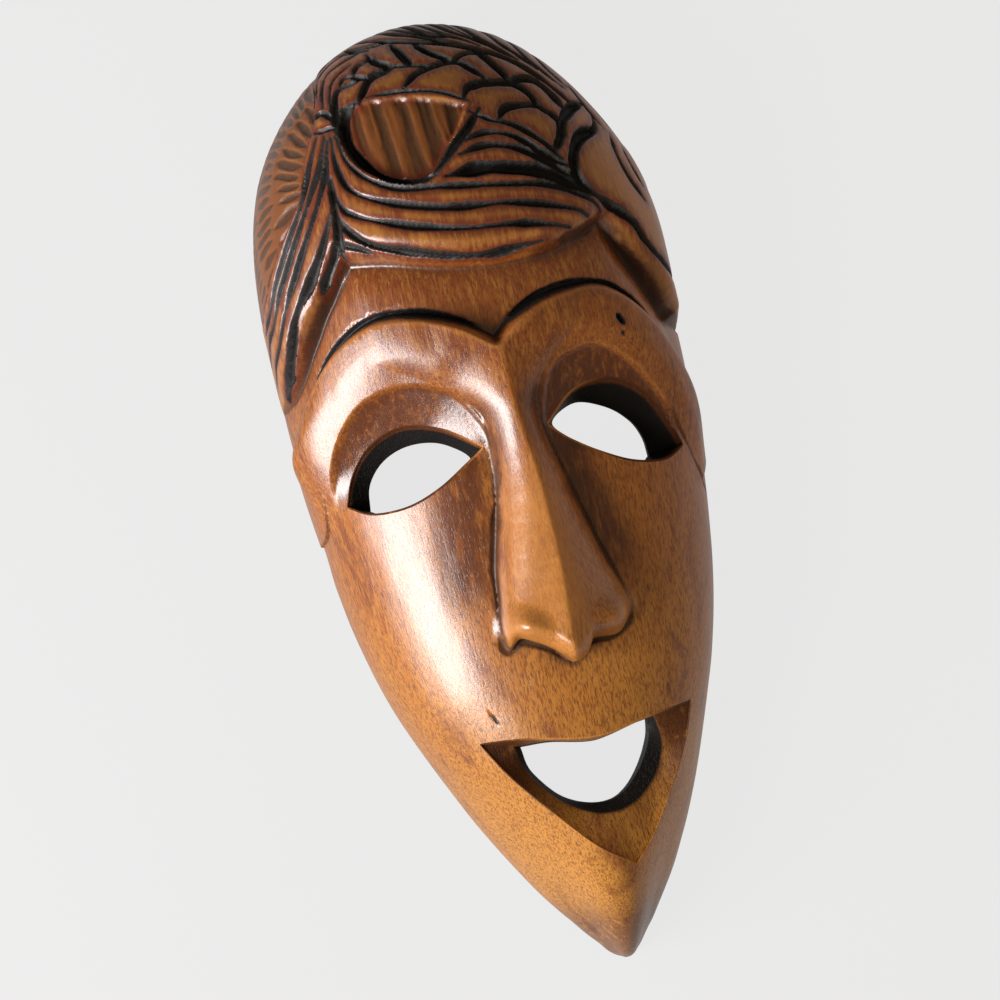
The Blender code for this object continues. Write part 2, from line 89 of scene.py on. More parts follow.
def ease(t: Array) -> Array:
    """Shape shares into a smooth step, level below 0 and above 1."""
    t = np.clip(t, 0.0, 1.0)
    return t * t * (3.0 - 2.0 * t)


def climb(x: Array, start: float, span: float) -> Array:
    """Climb smoothly from 0 at the start to 1 a span further on, or back where the span is negative."""
    return ease((x - start) / span)


def fair(x: Array, stations: Row, values: Row) -> Array:
    """Read a smooth line through a few stations.

    Args:
        x: Where the line is read.
        stations: Rising places that the line is given at.
        values: Its value at each of them.

    Returns:
        The line's value at each x, held level past both ends.
    """
    s = np.asarray(stations, float)
    v = np.asarray(values, float)
    rise = np.diff(v) / np.diff(s)
    slope = np.concatenate([rise[:1], 0.5 * (rise[1:] + rise[:-1]), rise[-1:]])
    slope[1:-1][rise[1:] * rise[:-1] <= 0] = 0.0
    i = np.clip(np.searchsorted(s, x) - 1, 0, len(s) - 2)
    span = s[i + 1] - s[i]
    t = np.clip((x - s[i]) / span, 0.0, 1.0)
    bump = ease(t)
    lean = span * (slope[i] * t * (1 - t) ** 2 - slope[i + 1] * t * t * (1 - t))
    return v[i] * (1 - bump) + v[i + 1] * bump + lean


def quarter_girth(a: Array, b: Array) -> Array:
    """Measure a quarter of the ellipse with half axes a and b."""
    h = ((a - b) / (a + b)) ** 2
    return np.pi * (a + b) * (1 + 3 * h / (10 + np.sqrt(4 - 3 * h))) / 4


def smooth_line(places: Places, steps: int = 8) -> Array:
    """Draw a smooth line through a few places.

    Args:
        places: The places that it runs through.
        steps: Short pieces between two places.

    Returns:
        The points of the line, one row each.
    """
    knots = np.asarray(places, float)
    knots = np.vstack([2 * knots[0] - knots[1], knots, 2 * knots[-1] - knots[-2]])
    t = (np.arange(steps) / steps)[:, None]
    spans = [
        0.5 * (2 * b + (c - a) * t + (2 * a - 5 * b + 4 * c - d) * t**2 + (3 * b - a - 3 * c + d) * t**3)
        for a, b, c, d in zip(knots[:-3], knots[1:-2], knots[2:-1], knots[3:])
    ]
    return np.vstack(spans + [knots[-2:-1]])


def wander(u: Array, v: Array, seed: int) -> Array:
    """Read a soft random surface whose hills are about one unit apart.

    Args:
        u: First coordinate.
        v: Second coordinate.
        seed: Picks the surface, the same one each run.

    Returns:
        Values from -1 to 1.
    """
    size = 128
    table = np.random.default_rng(seed).uniform(-1.0, 1.0, (size, size))
    i, j = np.floor(u).astype(int), np.floor(v).astype(int)
    s, t = ease(u - i), ease(v - j)
    i0, i1, j0, j1 = i % size, (i + 1) % size, j % size, (j + 1) % size
    near = table[i0, j0] * (1 - s) + table[i1, j0] * s
    far = table[i0, j1] * (1 - s) + table[i1, j1] * s
    return near * (1 - t) + far * t


@dataclass
class Sheet:
    """Places on the drawing sheet, as a grid or as a row of points."""

    p: Array
    q: Array

    def reach(self, line: Array, margin: float) -> tuple[Array, Array]:
        """Measure how far the places are from a line.

        Args:
            line: Points of the line.
            margin: Places further than this from the line's box are left out, as far away.

        Returns:
            The distance of each place, and the share of the line where it is nearest.
        """
        low, high = line.min(axis=0) - margin, line.max(axis=0) + margin
        close = (self.p > low[0]) & (self.p < high[0]) & (self.q > low[1]) & (self.q < high[1])
        p, q = self.p[close], self.q[close]
        best = np.full(p.shape, np.inf)
        where = np.zeros(p.shape)
        steps = np.hypot(*np.diff(line, axis=0).T)
        done = np.concatenate([[0.0], np.cumsum(steps)]) / steps.sum()
        for a, b, s0, s1 in zip(line[:-1], line[1:], done[:-1], done[1:]):
            d = b - a
            t = np.clip(((p - a[0]) * d[0] + (q - a[1]) * d[1]) / max(d @ d, 1e-12), 0.0, 1.0)
            far = np.hypot(p - a[0] - t * d[0], q - a[1] - t * d[1])
            near = far < best
            best = np.where(near, far, best)
            where = np.where(near, s0 + t * (s1 - s0), where)
        distance = np.full(self.p.shape, FAR_OFF)
        share = np.zeros(self.p.shape)
        distance[close] = best
        share[close] = where
        return distance, share

    def inside(self, outline: Array, margin: float = 30.0) -> Array:
        """Measure how far the places are inside a closed outline.

        Args:
            outline: Corners of the outline.
            margin: How far round the outline the distance is true.

        Returns:
            The distance to the outline, below zero outside it.
        """
        loop = np.vstack([outline, outline[:1]])
        odd = np.zeros(self.p.shape, bool)
        for (ap, aq), (bp, bq) in zip(loop[:-1], loop[1:]):
            crosses = (aq > self.q) != (bq > self.q)
            slope = (bp - ap) / (bq - aq) if bq != aq else 0.0
            odd ^= crosses & (self.p < ap + (self.q - aq) * slope)
        far, _ = self.reach(loop, margin)
        return np.where(odd, far, -far)

    def hills(self, across: float, along: float, seed: int) -> Array:
        """Read a soft random surface, -1 to 1, whose hills are across by along millimetres."""
        return wander(self.p / across, self.q / along, seed)


@dataclass(frozen=True)
class Shell:
    """Width, length and depth of one plain surface of the mask, in metres, and where its chin lies."""

    width: float
    length: float
    depth: float
    chin_y: float


@dataclass(frozen=True)
class MaskForm:
    """The plain form of the mask, which the sheet wraps over."""

    width: float = 0.173
    length: float = 0.400
    depth: float = 0.084
    rim: float = 0.012
    wall: float = 0.013
    chin_wood: float = 0.026
    chin_lean: float = 0.0028
    crown_lean: float = 0.0030
    drawn: Triple = (173.0, 400.0, 84.0)
    chin_q: float = -200.0
    crown_q: float = 88.0
    crown_axes: Triple = (85.2, 112.0, 84.0)
    width_stations: Row = (0, 5, 15, 35, 65, 95, 125, 155, 185, 215, 250, 288)
    half_widths: Row = (4.4, 7.2, 15.0, 29.0, 45.0, 57.6, 68.4, 75.6, 80.0, 83.2, 85.0, 85.2)
    height_stations: Row = (0, 2.5, 8, 38, 91, 122, 175, 215, 262, 288)
    heights: Row = (4, 13, 23, 49, 65, 69, 73, 76, 82, 84)
    tip_round: float = 5.0
    full_stations: Row = (0, 30, 60, 100, 140, 288)
    fullness: Row = (-0.17, -0.15, -0.08, 0.02, 0.05, 0.05)
    lean_from: Pair = (-0.3, 0.5)
    lean_over: Pair = (0.6, 0.3)
    drawn_lean: Pair = (100.0, 54.0)

    @property
    def outer(self) -> Shell:
        """The carved outside."""
        return Shell(self.width, self.length, self.depth, -self.length / 2)

    @property
    def hollow(self) -> Shell:
        """The hollow behind the face."""
        return Shell(
            self.width - 2 * self.rim, self.length - self.rim - self.chin_wood,
            self.depth - self.wall, self.chin_wood - self.length / 2,
        )

    @property
    def side_girth(self) -> float:
        """Distance over the crown line from the middle to the rim."""
        return float(quarter_girth(self.crown_axes[0], self.crown_axes[2]))

    @property
    def crown_girth(self) -> float:
        """Distance along the middle line from the crown line to the rim."""
        return float(quarter_girth(self.crown_axes[1], self.crown_axes[2]))

    def half_width(self, q: Array) -> Array:
        """Read the half width at the rim.

        Args:
            q: Places along the sheet.

        Returns:
            Half widths in drawn millimetres, round at the chin's tip.
        """
        t = q - self.chin_q
        tip = 1.0 - np.clip(t / self.tip_round, 0.0, 1.0)
        return fair(t, self.width_stations, self.half_widths) * np.sqrt(1.0 - tip**2)

    def height(self, q: Array) -> Array:
        """Read the height of the middle line at places along the sheet, in drawn millimetres."""
        return fair(q - self.chin_q, self.height_stations, self.heights)

    def girth(self, q: Array) -> Array:
        """Measure from the middle line to the rim over the form.

        Args:
            q: Places along the sheet.

        Returns:
            The distance along each row of the sheet.
        """
        over = np.clip((q - self.crown_q) / self.crown_girth, 0.0, 1.0)
        below = quarter_girth(self.half_width(q), self.height(q))
        return np.where(q > self.crown_q, self.side_girth * np.sqrt(1.0 - over**2), below)

    def to_rim(self, sheet: Sheet) -> Array:
        """Tell how near places are to the rim.

        Args:
            sheet: The places.

        Returns:
            Shares of the way from the middle of the face to the rim.
        """
        over = np.hypot(sheet.p / self.side_girth, (sheet.q - self.crown_q) / self.crown_girth)
        below = np.abs(sheet.p) / np.maximum(self.girth(sheet.q), 1e-9)
        return np.where(sheet.q > self.crown_q, over, below)

    def points(self, sheet: Sheet, shell: Shell) -> Array:
        """Wrap the sheet over a plain shell.

        Args:
            sheet: The places to wrap.
            shell: The surface that they are wrapped over.

        Returns:
            Points in metres.
        """
        p, q = sheet.p, sheet.q
        wide_crown, long_crown, high_crown = self.crown_axes
        crown = q > self.crown_q
        over = (q - self.crown_q) / self.crown_girth
        wide = np.where(crown, wide_crown, self.half_width(q))
        high = np.where(crown, high_crown, self.height(q))
        turn = np.clip(self.to_rim(sheet), 0.0, 1.0) * np.pi / 2
        bearing = np.where(crown, np.arctan2(p / self.side_girth, over), np.sign(p) * np.pi / 2)
        full = 1.0 + fair(q - self.chin_q, self.full_stations, self.fullness) * np.sin(2 * turn) ** 2
        x = wide * np.sin(turn) * full * np.sin(bearing)
        along = np.where(crown, self.crown_q + long_crown * np.sin(turn) * full * np.cos(bearing), q)
        z = high * np.cos(turn) * full
        y = shell.chin_y + (along - self.chin_q) * shell.length / self.drawn[1]
        share = 2 * y / self.length
        low, high_up = self.lean_from
        lean = self.chin_lean * ease((low - share) / self.lean_over[0])
        lean = lean - self.crown_lean * ease((share - high_up) / self.lean_over[1])
        return np.stack([x * shell.width / self.drawn[0] + lean, y, z * shell.depth / self.drawn[2]], -1)

    def drawn_line(self, places: Places, steps: int = 8) -> Array:
        """Draw a smooth line on the sheet, moved back by the crown's lean so that it stays upright.

        Args:
            places: The places that it runs through, as they look from in front.
            steps: Short pieces between two places.

        Returns:
            The points of the line on the sheet.
        """
        line = smooth_line(places, steps)
        line[:, 0] += self.crown_lean / MM * climb(line[:, 1], *self.drawn_lean)
        return line

    def face_points(self, ring: Array) -> Array:
        """Wrap a drawn ring over the carved outside's plain form."""
        return self.points(Sheet(ring[:, 0], ring[:, 1]), self.outer)


@dataclass(frozen=True)
class Nose:
    """The nose: a flat front with a steep left side, a sloping right side, two wings and a cut foot."""

    rise: float = 0.026
    top: float = 62.0
    tip: float = -62.0
    stations: Row = (0, 0.12, 0.25, 0.5, 0.75, 0.9, 1.0)
    ridge: Row = (0, 0.5, 1, 3, 2.5, 0.8, 0.5)
    left: Row = (46, 25, 11.5, 15.5, 21.5, 22, 20.5)
    right: Row = (34, 17, 9, 12.3, 20, 26.5, 25)
    heights: Row = (0.36, 0.37, 0.41, 0.57, 0.80, 0.97, 1.0)
    front_lean: float = 0.30
    foot_across: Row = (-34, -24, -20, -15, -11, -5, 1.5, 6, 10, 20, 27, 36)
    foot: Row = (-50, -56, -58, -54, -56, -60.5, -67, -65.5, -60.5, -61.5, -56, -50)
    foot_round: float = 11.0
    wings: tuple[Triple, ...] = ((-14, -49, 7.5), (20, -53, 8.5))
    wing_rise: float = 0.0062
    left_fullness: Row = (1.2, 1.5, 2.2, 3.6, 5.5, 6.5, 6.5)
    right_fullness: Row = (1.2, 1.3, 1.5, 1.4, 1.3, 1.3, 1.3)

    def height(self, sheet: Sheet) -> Array:
        """Raise the nose.

        Args:
            sheet: Places on the face.

        Returns:
            Heights over the plain form, in metres.
        """
        p, q = sheet.p, sheet.q
        down = np.clip((self.top - q) / (self.top - self.tip), -0.2, 1.0)
        aside = p - fair(down, self.stations, self.ridge)
        left, right = fair(down, self.stations, self.left), fair(down, self.stations, self.right)
        u = np.clip(np.abs(aside) / np.where(aside < 0, left, right), 0.0, 1.0)
        steep = fair(down, self.stations, self.left_fullness)
        fullness = np.where(aside < 0, steep, fair(down, self.stations, self.right_fullness))
        section = (1.0 - u**fullness) * (1.0 - self.front_lean * u * (aside < 0))
        wedge = self.rise * fair(down, self.stations, self.heights) * section
        for wp, wq, radius in self.wings:
            wedge = wedge + self.wing_rise * (1.0 - ease(np.hypot(p - wp, q - wq) / radius / 1.5))
        over_foot = np.clip((q - fair(p, self.foot_across, self.foot)) / self.foot_round, 0.0, 1.0)
        return wedge * np.sqrt(1.0 - (1.0 - over_foot) ** 2)


@dataclass(frozen=True)
class Face:
    """Brow bands, eye sockets and the step from the brow down to the left cheek."""

    nose: Nose = Nose()
    brow_line_left: Places = (
        (0, 61), (-12, 70), (-28, 76.5), (-44, 78), (-61, 71.5), (-76, 60), (-87, 50), (-99, 40),
        (-112, 33),
    )
    brow_line_right: Places = (
        (0, 61), (8, 67), (22, 73), (40, 74.5), (53, 70), (66, 59), (78, 43.5), (93, 24),
    )
    brow_step: float = 0.0013
    brow_rise: float = 0.0041
    brow_fade: float = 0.95
    brow_taper: Pair = (0.70, 0.28)
    brow_ends: Pair = (0.1, 0.04)
    temple_rise: Pair = (0.0060, 0.0018)
    temple_inner: float = 64.0
    temple_outer: float = 90.0
    temple_end: float = 108.0
    brows: tuple[tuple[Places, float, float], ...] = (
        (((-6, 58), (-16, 65.5), (-29, 71), (-45, 71), (-61, 62.5), (-76, 47.5), (-88, 29), (-96, 13),
            (-102, 0)), 22.0, 0.85),
        (((5, 56), (15, 61), (28, 64), (42, 62.5), (55, 56), (67, 43), (78, 27), (87, 9), (95, -10)),
            15.0, 0.6),
    )
    socket_depth: float = 0.0085
    sockets: tuple[tuple[Places, float], ...] = (
        (((-9, 10), (-10, 27), (-20, 44), (-36, 51), (-52, 49), (-65, 39), (-75, 22), (-79, 6)), 7.0),
        (((12, 8), (11, 26), (18, 45), (34, 51), (46, 46), (59, 31), (69, 14), (76, -2)), 4.0),
    )
    temple: Places = (
        (-66, 38), (-71, 33), (-76, 25), (-82, 15.5), (-91.5, 3), (-104, -1), (-125, -3),
    )
    temple_step: float = 0.0011
    shadow_lines: tuple[tuple[Places, float], ...] = (
        (((-14, 28), (-19, 14), (-24, -6), (-30, -28), (-33, -50)), 24.0),
        (((10, 34), (16, 14), (22, -8), (29, -32), (33, -50)), 14.0),
        (((54, 96), (64, 83), (77, 67), (88, 57), (106, 53)), 10.0),
        (((26, 88), (42, 92), (56, 95)), 8.0),
        (((-49, 100), (-58, 92), (-67, 84), (-77, 74), (-88, 64)), 7.0),
    )
    shadow_share: float = 0.9
    temple_reach: float = 20.0
    below_brows: Places = ((150, 20), (150, -230), (-150, -230), (-150, 30))
    nose_hold: float = 0.7
    nose_full: float = 0.006
    lid_step: float = 0.14
    socket_reach: float = 19.0
    socket_fade: float = 20.0
    sunk_fade: float = 12.0
    chin_darkening: float = 0.7
    bare_middle: float = -2.0
    # Each pair from here on says where a change starts and the span that it takes.
    line_edge: Pair = (-1.0, 4.5)
    temple_foot: Pair = (4.0, 46.0)
    temple_top: Pair = (0.0, 12.0)
    temple_start: Pair = (0.2, 0.4)
    lid_edge: Pair = (-0.6, 2.4)
    sunk_edge: Pair = (-0.5, 3.5)
    chin_rows: Pair = (-158.0, -26.0)
    bare_rows: tuple[Pair, Pair] = ((-63.0, 22.0), (26.0, -34.0))
    shadow_end: Pair = (1.0, -0.3)

    def height(self, sheet: Sheet) -> Array:
        """Raise and sink the face.

        Args:
            sheet: Places on the mask.

        Returns:
            Heights over the plain form, in metres.
        """
        left, right = smooth_line(self.brow_line_left), smooth_line(self.brow_line_right)
        below = sheet.inside(np.vstack([left[::-1], right, self.below_brows]))
        under_line = climb(below, *self.line_edge)
        rise = self.nose.height(sheet) * under_line + self.brow_step * under_line
        for places, band_width, thinning in self.brows:
            far, share = sheet.reach(smooth_line(places), band_width + 2.0)
            band = ease((band_width + 2.0 - far) / (self.brow_fade * band_width))
            taper = 1.0 - thinning * climb(share, *self.brow_taper)
            inner, outer = self.brow_ends
            band = band * taper * ease(share / inner) * ease((1.0 - share) / outer)
            on_wood = 1.0 - self.nose_hold * np.clip(rise / self.nose_full, 0.0, 1.0)
            rise = rise + self.brow_rise * band * under_line * on_wood
        aside = np.abs(sheet.p)
        out = np.clip((aside - self.temple_inner) / (self.temple_outer - self.temple_inner), 0.0, 1.0)
        bulge = ease((self.temple_end - aside) / (self.temple_end - self.temple_outer))
        bulge = 0.5 * (out + ease(out)) * bulge
        bulge = bulge * climb(sheet.q, *self.temple_foot) * climb(below, *self.temple_top)
        rise = rise + np.where(sheet.p < 0, *self.temple_rise) * bulge
        for places, lid in self.sockets:
            inside = sheet.inside(smooth_line(places))
            sink = self.lid_step * climb(inside, *self.lid_edge)
            sink = sink + (1.0 - self.lid_step) * np.clip(inside / self.socket_reach, 0.0, 1.0)
            rise = rise - self.socket_depth * sink * climb(sheet.q, lid, self.socket_fade)
        line = smooth_line(self.temple)
        far, share = sheet.reach(line, self.temple_reach)
        under = (sheet.p < line[0, 0]) & (sheet.q < np.interp(-sheet.p, -line[:, 0], line[:, 1]))
        step = self.temple_step * under * (1.0 - ease(far / self.temple_reach))
        return rise - step * climb(share, *self.temple_start)

    def patina(self, sheet: Sheet) -> Array:
        """Tell where the wood is painted darker: painted shade in the sockets, beside the nose and under
        the fish's border, and darker towards the chin's tip.

        Args:
            sheet: Places on the mask.

        Returns:
            Shares from 0 to 1, and below 0 where the middle of the nose is worn paler.
        """
        # The chin's tip is painted darker.
        dark = self.chin_darkening * climb(sheet.q, *self.chin_rows)
        bare = ease(1.2 - np.abs(sheet.p - self.bare_middle) / 15.0)
        for start, span in self.bare_rows:
            bare = bare * climb(sheet.q, start, span)
        # Painted shade in the eye sockets.
        for places, lid in self.sockets:
            sunk = climb(sheet.inside(smooth_line(places)), *self.sunk_edge)
            dark = np.maximum(dark, sunk * climb(sheet.q, lid, self.sunk_fade))
        # Painted shade beside the nose and under the fish's border.
        for places, width in self.shadow_lines:
            far, share = sheet.reach(smooth_line(places), width)
            shade = self.shadow_share * ease((width - far) / width)
            dark = np.maximum(dark, shade * climb(share, *self.shadow_end))
        return dark * (1.0 - bare) - bare


@dataclass(frozen=True)
class Grooves:
    """All cut lines: the width of each in millimetres, and the places that it runs through."""

    depth_share: float = 0.75
    crease_share: float = 0.22
    raggedness: float = 0.26
    roughness: float = 0.06
    face_raggedness: float = 0.3
    drift: float = 0.5
    margin: float = 9.0
    floor_power: float = 2.2
    tail: Cuts = (
        (1.4, ((-49.5, 149.5), (-55, 138.5), (-60.5, 127), (-69.5, 118), (-78, 110.5), (-89, 101),
            (-104, 96), (-125, 94))),
        (1.8, ((-47.5, 146.5), (-53, 135.5), (-58.5, 125), (-67, 115.5), (-79.5, 102.5), (-93, 91),
            (-118, 87.5))),
        (2.1, ((-44, 145.5), (-49, 133.5), (-56, 123.5), (-68, 109), (-78, 98.5), (-90.5, 86.5),
            (-112.5, 81.5), (-129, 75.5))),
        (2.3, ((-43, 143.5), (-47, 130.5), (-54.5, 118.5), (-67, 102.5), (-77.5, 90.5), (-89, 78),
            (-105.5, 71.5), (-122, 66))),
        (3.0, ((-47, 118), (-54, 107), (-62.5, 97), (-72.5, 88), (-80, 78), (-90.5, 67), (-104, 58))),
        (2.0, ((-47, 109), (-50.5, 104), (-57.5, 96.5), (-61, 92.5))),
        (2.6, ((-45, 129), (-46, 119), (-46.5, 111), (-48.5, 101))),
    )
    lobe: Cuts = (
        (2.1, ((-39.5, 143.5), (-37.5, 133), (-31.5, 124.5), (-21, 118.5), (-6.5, 116), (15, 112.5),
            (33, 109.5), (44, 104.5), (53.5, 99))),
        (2.1, ((-41.5, 144), (-41.5, 132), (-38, 122), (-25.5, 114.5), (-5, 108.5), (16.5, 106),
            (37.5, 101), (46, 97.5))),
        (2.2, ((-46.5, 134), (-44, 120), (-39.5, 114), (-25, 107), (-3.5, 101), (18.5, 98.5), (38, 94.5))),
        (2.5, ((-46, 120), (-44, 111.5), (-35, 102.5), (-16, 95.5), (2, 91.5), (19, 91.5), (28, 92))),
        (1.6, ((-48, 106.5), (-42, 103.5), (-36, 100))),
    )
    tail_root: Cuts = (
        (2.0, ((-45, 238), (-46.5, 208), (-47, 183), (-46.5, 170.5), (-48, 155.5), (-49, 149.5))),
        (1.5, ((-47, 155), (-43.5, 156), (-39, 150))),
        (1.3, ((-47.5, 148.5), (-44.5, 148), (-38, 147))),
    )
    curl_edge: Cuts = (
        (3.8, ((-29, 154.5), (-35, 151), (-36.5, 144), (-35, 136.5), (-31, 129), (-24, 123))),
        (3.0, ((-31, 129), (-24, 122.8), (-14, 119.7), (-5, 120.5))),
        (2.7, ((15, 140), (8, 133), (-1, 126), (-9, 119.5))),
        (1.5, ((-25, 154.5), (-13, 153), (1, 149.5), (12, 143.5))),
    )
    fin: Cuts = (
        (5.0, ((-4, 119), (10, 119), (23.5, 116.5), (37, 112), (48, 104.5))),
        (2.2, ((11, 139.5), (18, 135), (26, 132), (34.5, 125.5), (41, 118))),
        (2.4, ((6.5, 129.5), (15, 131), (24.5, 128), (34, 121), (44, 114))),
        (2.6, ((3, 125), (13.5, 126.5), (23.5, 124), (34, 118), (47, 108.5))),
    )
    head: Cuts = (
        (3.5, ((62.5, 143.5), (55, 140), (48, 134.5), (44, 127.5), (41, 122))),
        (4.0, ((65, 138), (62, 131), (52, 126), (46, 118), (45.5, 110.5), (51, 103.5))),
        (2.9, ((47.5, 105), (58, 100), (66, 93.5), (72, 85.5), (82, 77), (95, 72), (108, 69))),
        (1.7, ((71, 130), (69.5, 121), (71.5, 111.5), (78.5, 102))),
        (1.3, ((77.5, 125.5), (78, 118), (82, 108.5))),
        (1.4, ((60, 154.5), (63, 143), (68, 131.5))),
        (1.4, ((65, 158), (71, 148), (76, 136))),
    )
    back_fin: Cuts = (
        (2.8, ((-28, 198), (-17.5, 187), (-6.5, 179), (11, 172), (30, 164.5), (43, 155), (56.5, 139.5))),
        (2.3, ((-31, 193), (-24, 184.5), (-12, 180.5))),
        (1.9, ((-40, 196), (-32, 188.5), (-25, 182), (-20, 179.5))),
        (2.4, ((-23, 215), (-10.5, 190), (3.5, 178.5), (17.5, 171.5))),
        (2.6, ((-9, 214), (3, 184), (15, 177), (24.5, 170))),
        (2.6, ((4, 214), (13.5, 184.5), (22.5, 175.5), (32, 168))),
        (3.1, ((18, 206), (23.5, 182), (29.5, 171), (38.5, 162.5))),
        (2.9, ((32, 200), (34, 176), (40, 166), (46, 158))),
        (2.4, ((43, 190), (43, 168), (49, 157), (55, 150))),
        (1.9, ((54, 180), (52, 163), (58, 151))),
        (1.1, ((-16, 212), (-4, 188), (9, 177))),
        (1.1, ((-2, 212), (8, 185), (19, 175))),
        (1.1, ((11, 208), (18, 184), (26, 174))),
    )
    nape: Cuts = (
        (1.1, ((-42.5, 158), (-42, 168), (-39, 176), (-32, 179), (-23, 180.5))),
        (1.0, ((-45, 165), (-43.5, 178), (-38, 185), (-29, 186))),
        (1.0, ((-39.5, 157), (-38, 167), (-34, 172), (-28, 174.5))),
        (0.9, ((-45, 184), (-41, 190), (-34, 197))),
    )
    scales: Cuts = (
        (2.6, ((-39, 145), (-38, 155.5), (-35, 163), (-25, 164))),
        (3.2, ((-28, 153), (-25.5, 157.5), (-21, 163), (-11, 165))),
        (2.9, ((-11.5, 152.5), (-8, 156), (-2.5, 159.5), (10.5, 162), (16.5, 157.5), (22, 151))),
        (3.2, ((10, 144.5), (14, 149.5), (28.5, 150), (35.5, 145.5), (39, 138.5), (45, 132))),
        (2.6, ((20, 134), (25, 139), (35.5, 139.5), (40, 137))),
        (3.4, ((40, 138), (44.5, 132.5), (43, 126.5), (39, 121))),
        (3.5, ((29, 150.5), (39.5, 151.5), (45.5, 146), (49.5, 138))),
        (3.8, ((22, 167.5), (25, 161), (30.5, 150.5))),
        (1.8, ((10, 162), (17, 165.5), (24, 165))),
        (2.8, ((-21, 176.5), (-18, 170), (-12, 165))),
        (3.2, ((-10.5, 178), (-8, 171.5), (-5, 163))),
        (3.6, ((-2, 175.5), (3, 168.5), (11, 162))),
        (1.4, ((-14, 166), (-3, 162.5), (5, 161))),
        (1.8, ((-35, 164), (-31, 168), (-22, 162.5))),
        (1.9, ((-28, 168), (-25.5, 172), (-18, 173.5))),
    )
    face: Cuts = (
        (3.3, Face.brow_line_left),
        (3.0, Face.brow_line_right),
        (2.8, ((47, 60), (48.3, 57.5), (49.5, 55.5))),
        (1.2, ((48, 53), (48.6, 51.5))),
        (1.0, ((-33.5, -81), (-32.5, -85))),
    )
    creases: Cuts = (
        (4.5, ((54.5, 96.5), (63.5, 83.5), (76.5, 67.5), (87.5, 57.5), (106, 53), (131, 51))),
        (3.6, ((32, 91), (43, 93), (54.5, 96.5))),
        (4.0, ((-49.5, 101), (-57.5, 92.5), (-66.5, 84), (-76.5, 74), (-88, 64), (-104, 57.5), (-131, 55))),
        (1.0, Face.temple[3:]),
        (1.4, ((64, 28), (71.5, 8), (83, -9), (97, -19))),
        (3.2, ((-8.4, 24), (-8.6, 18), (-10.4, 7.5), (-14.3, -8), (-18.8, -24), (-20.4, -39),
            (-21.8, -51))),
        (1.4, ((9, 36), (12, 17), (16.5, -4), (21, -24), (26.5, -42), (28.5, -52))),
        (3.6, ((-23, -50), (-21.5, -58), (-15, -56), (-10, -58), (-4, -62), (1, -67.5))),
        (3.0, ((1, -67.5), (6, -66), (10, -61.5), (19, -62), (27, -58), (28.5, -50))),
    )

    def cut(self, form: MaskForm, sheet: Sheet) -> tuple[Array, Array, Array]:
        """Cut every line.

        Args:
            form: The form that the sheet wraps.
            sheet: Places on the mask.

        Returns:
            The depth of the cut in metres, and the distances inside a groove's and a crease's edge in
            millimetres.
        """
        deepest = np.zeros(sheet.p.shape)
        rough = self.raggedness * sheet.hills(7.0, 7.0, 11) + self.roughness * sheet.hills(1.5, 1.5, 12)
        drift = self.drift * sheet.hills(11.0, 11.0, 13)
        groove, crease = np.full(sheet.p.shape, UNCUT), np.full(sheet.p.shape, UNCUT)
        crown = self.tail + self.lobe + self.tail_root + self.curl_edge + self.fin + self.head
        crown = crown + self.back_fin + self.nape + self.scales
        for cuts, edge, share_deep, ragged in (
            (crown, groove, self.depth_share, 1.0),
            (self.face, groove, self.depth_share, self.face_raggedness),
            (self.creases, crease, self.crease_share, 1.0),
        ):
            for width, places in cuts:
                far, share = sheet.reach(form.drawn_line(places), self.margin + width)
                half = 0.5 * width * (0.25 + 0.75 * ease(np.minimum(share, 1.0 - share) / 0.2))
                half = half * (1.0 + rough * ragged)
                far = np.maximum(far + drift, 0.0)
                np.maximum(edge, half - far, out=edge)
                floor = 1.0 - np.clip(far / half, 0.0, 1.0) ** self.floor_power
                deepest = np.maximum(deepest, 2 * share_deep * half * MM * floor)
        return deepest, groove, crease


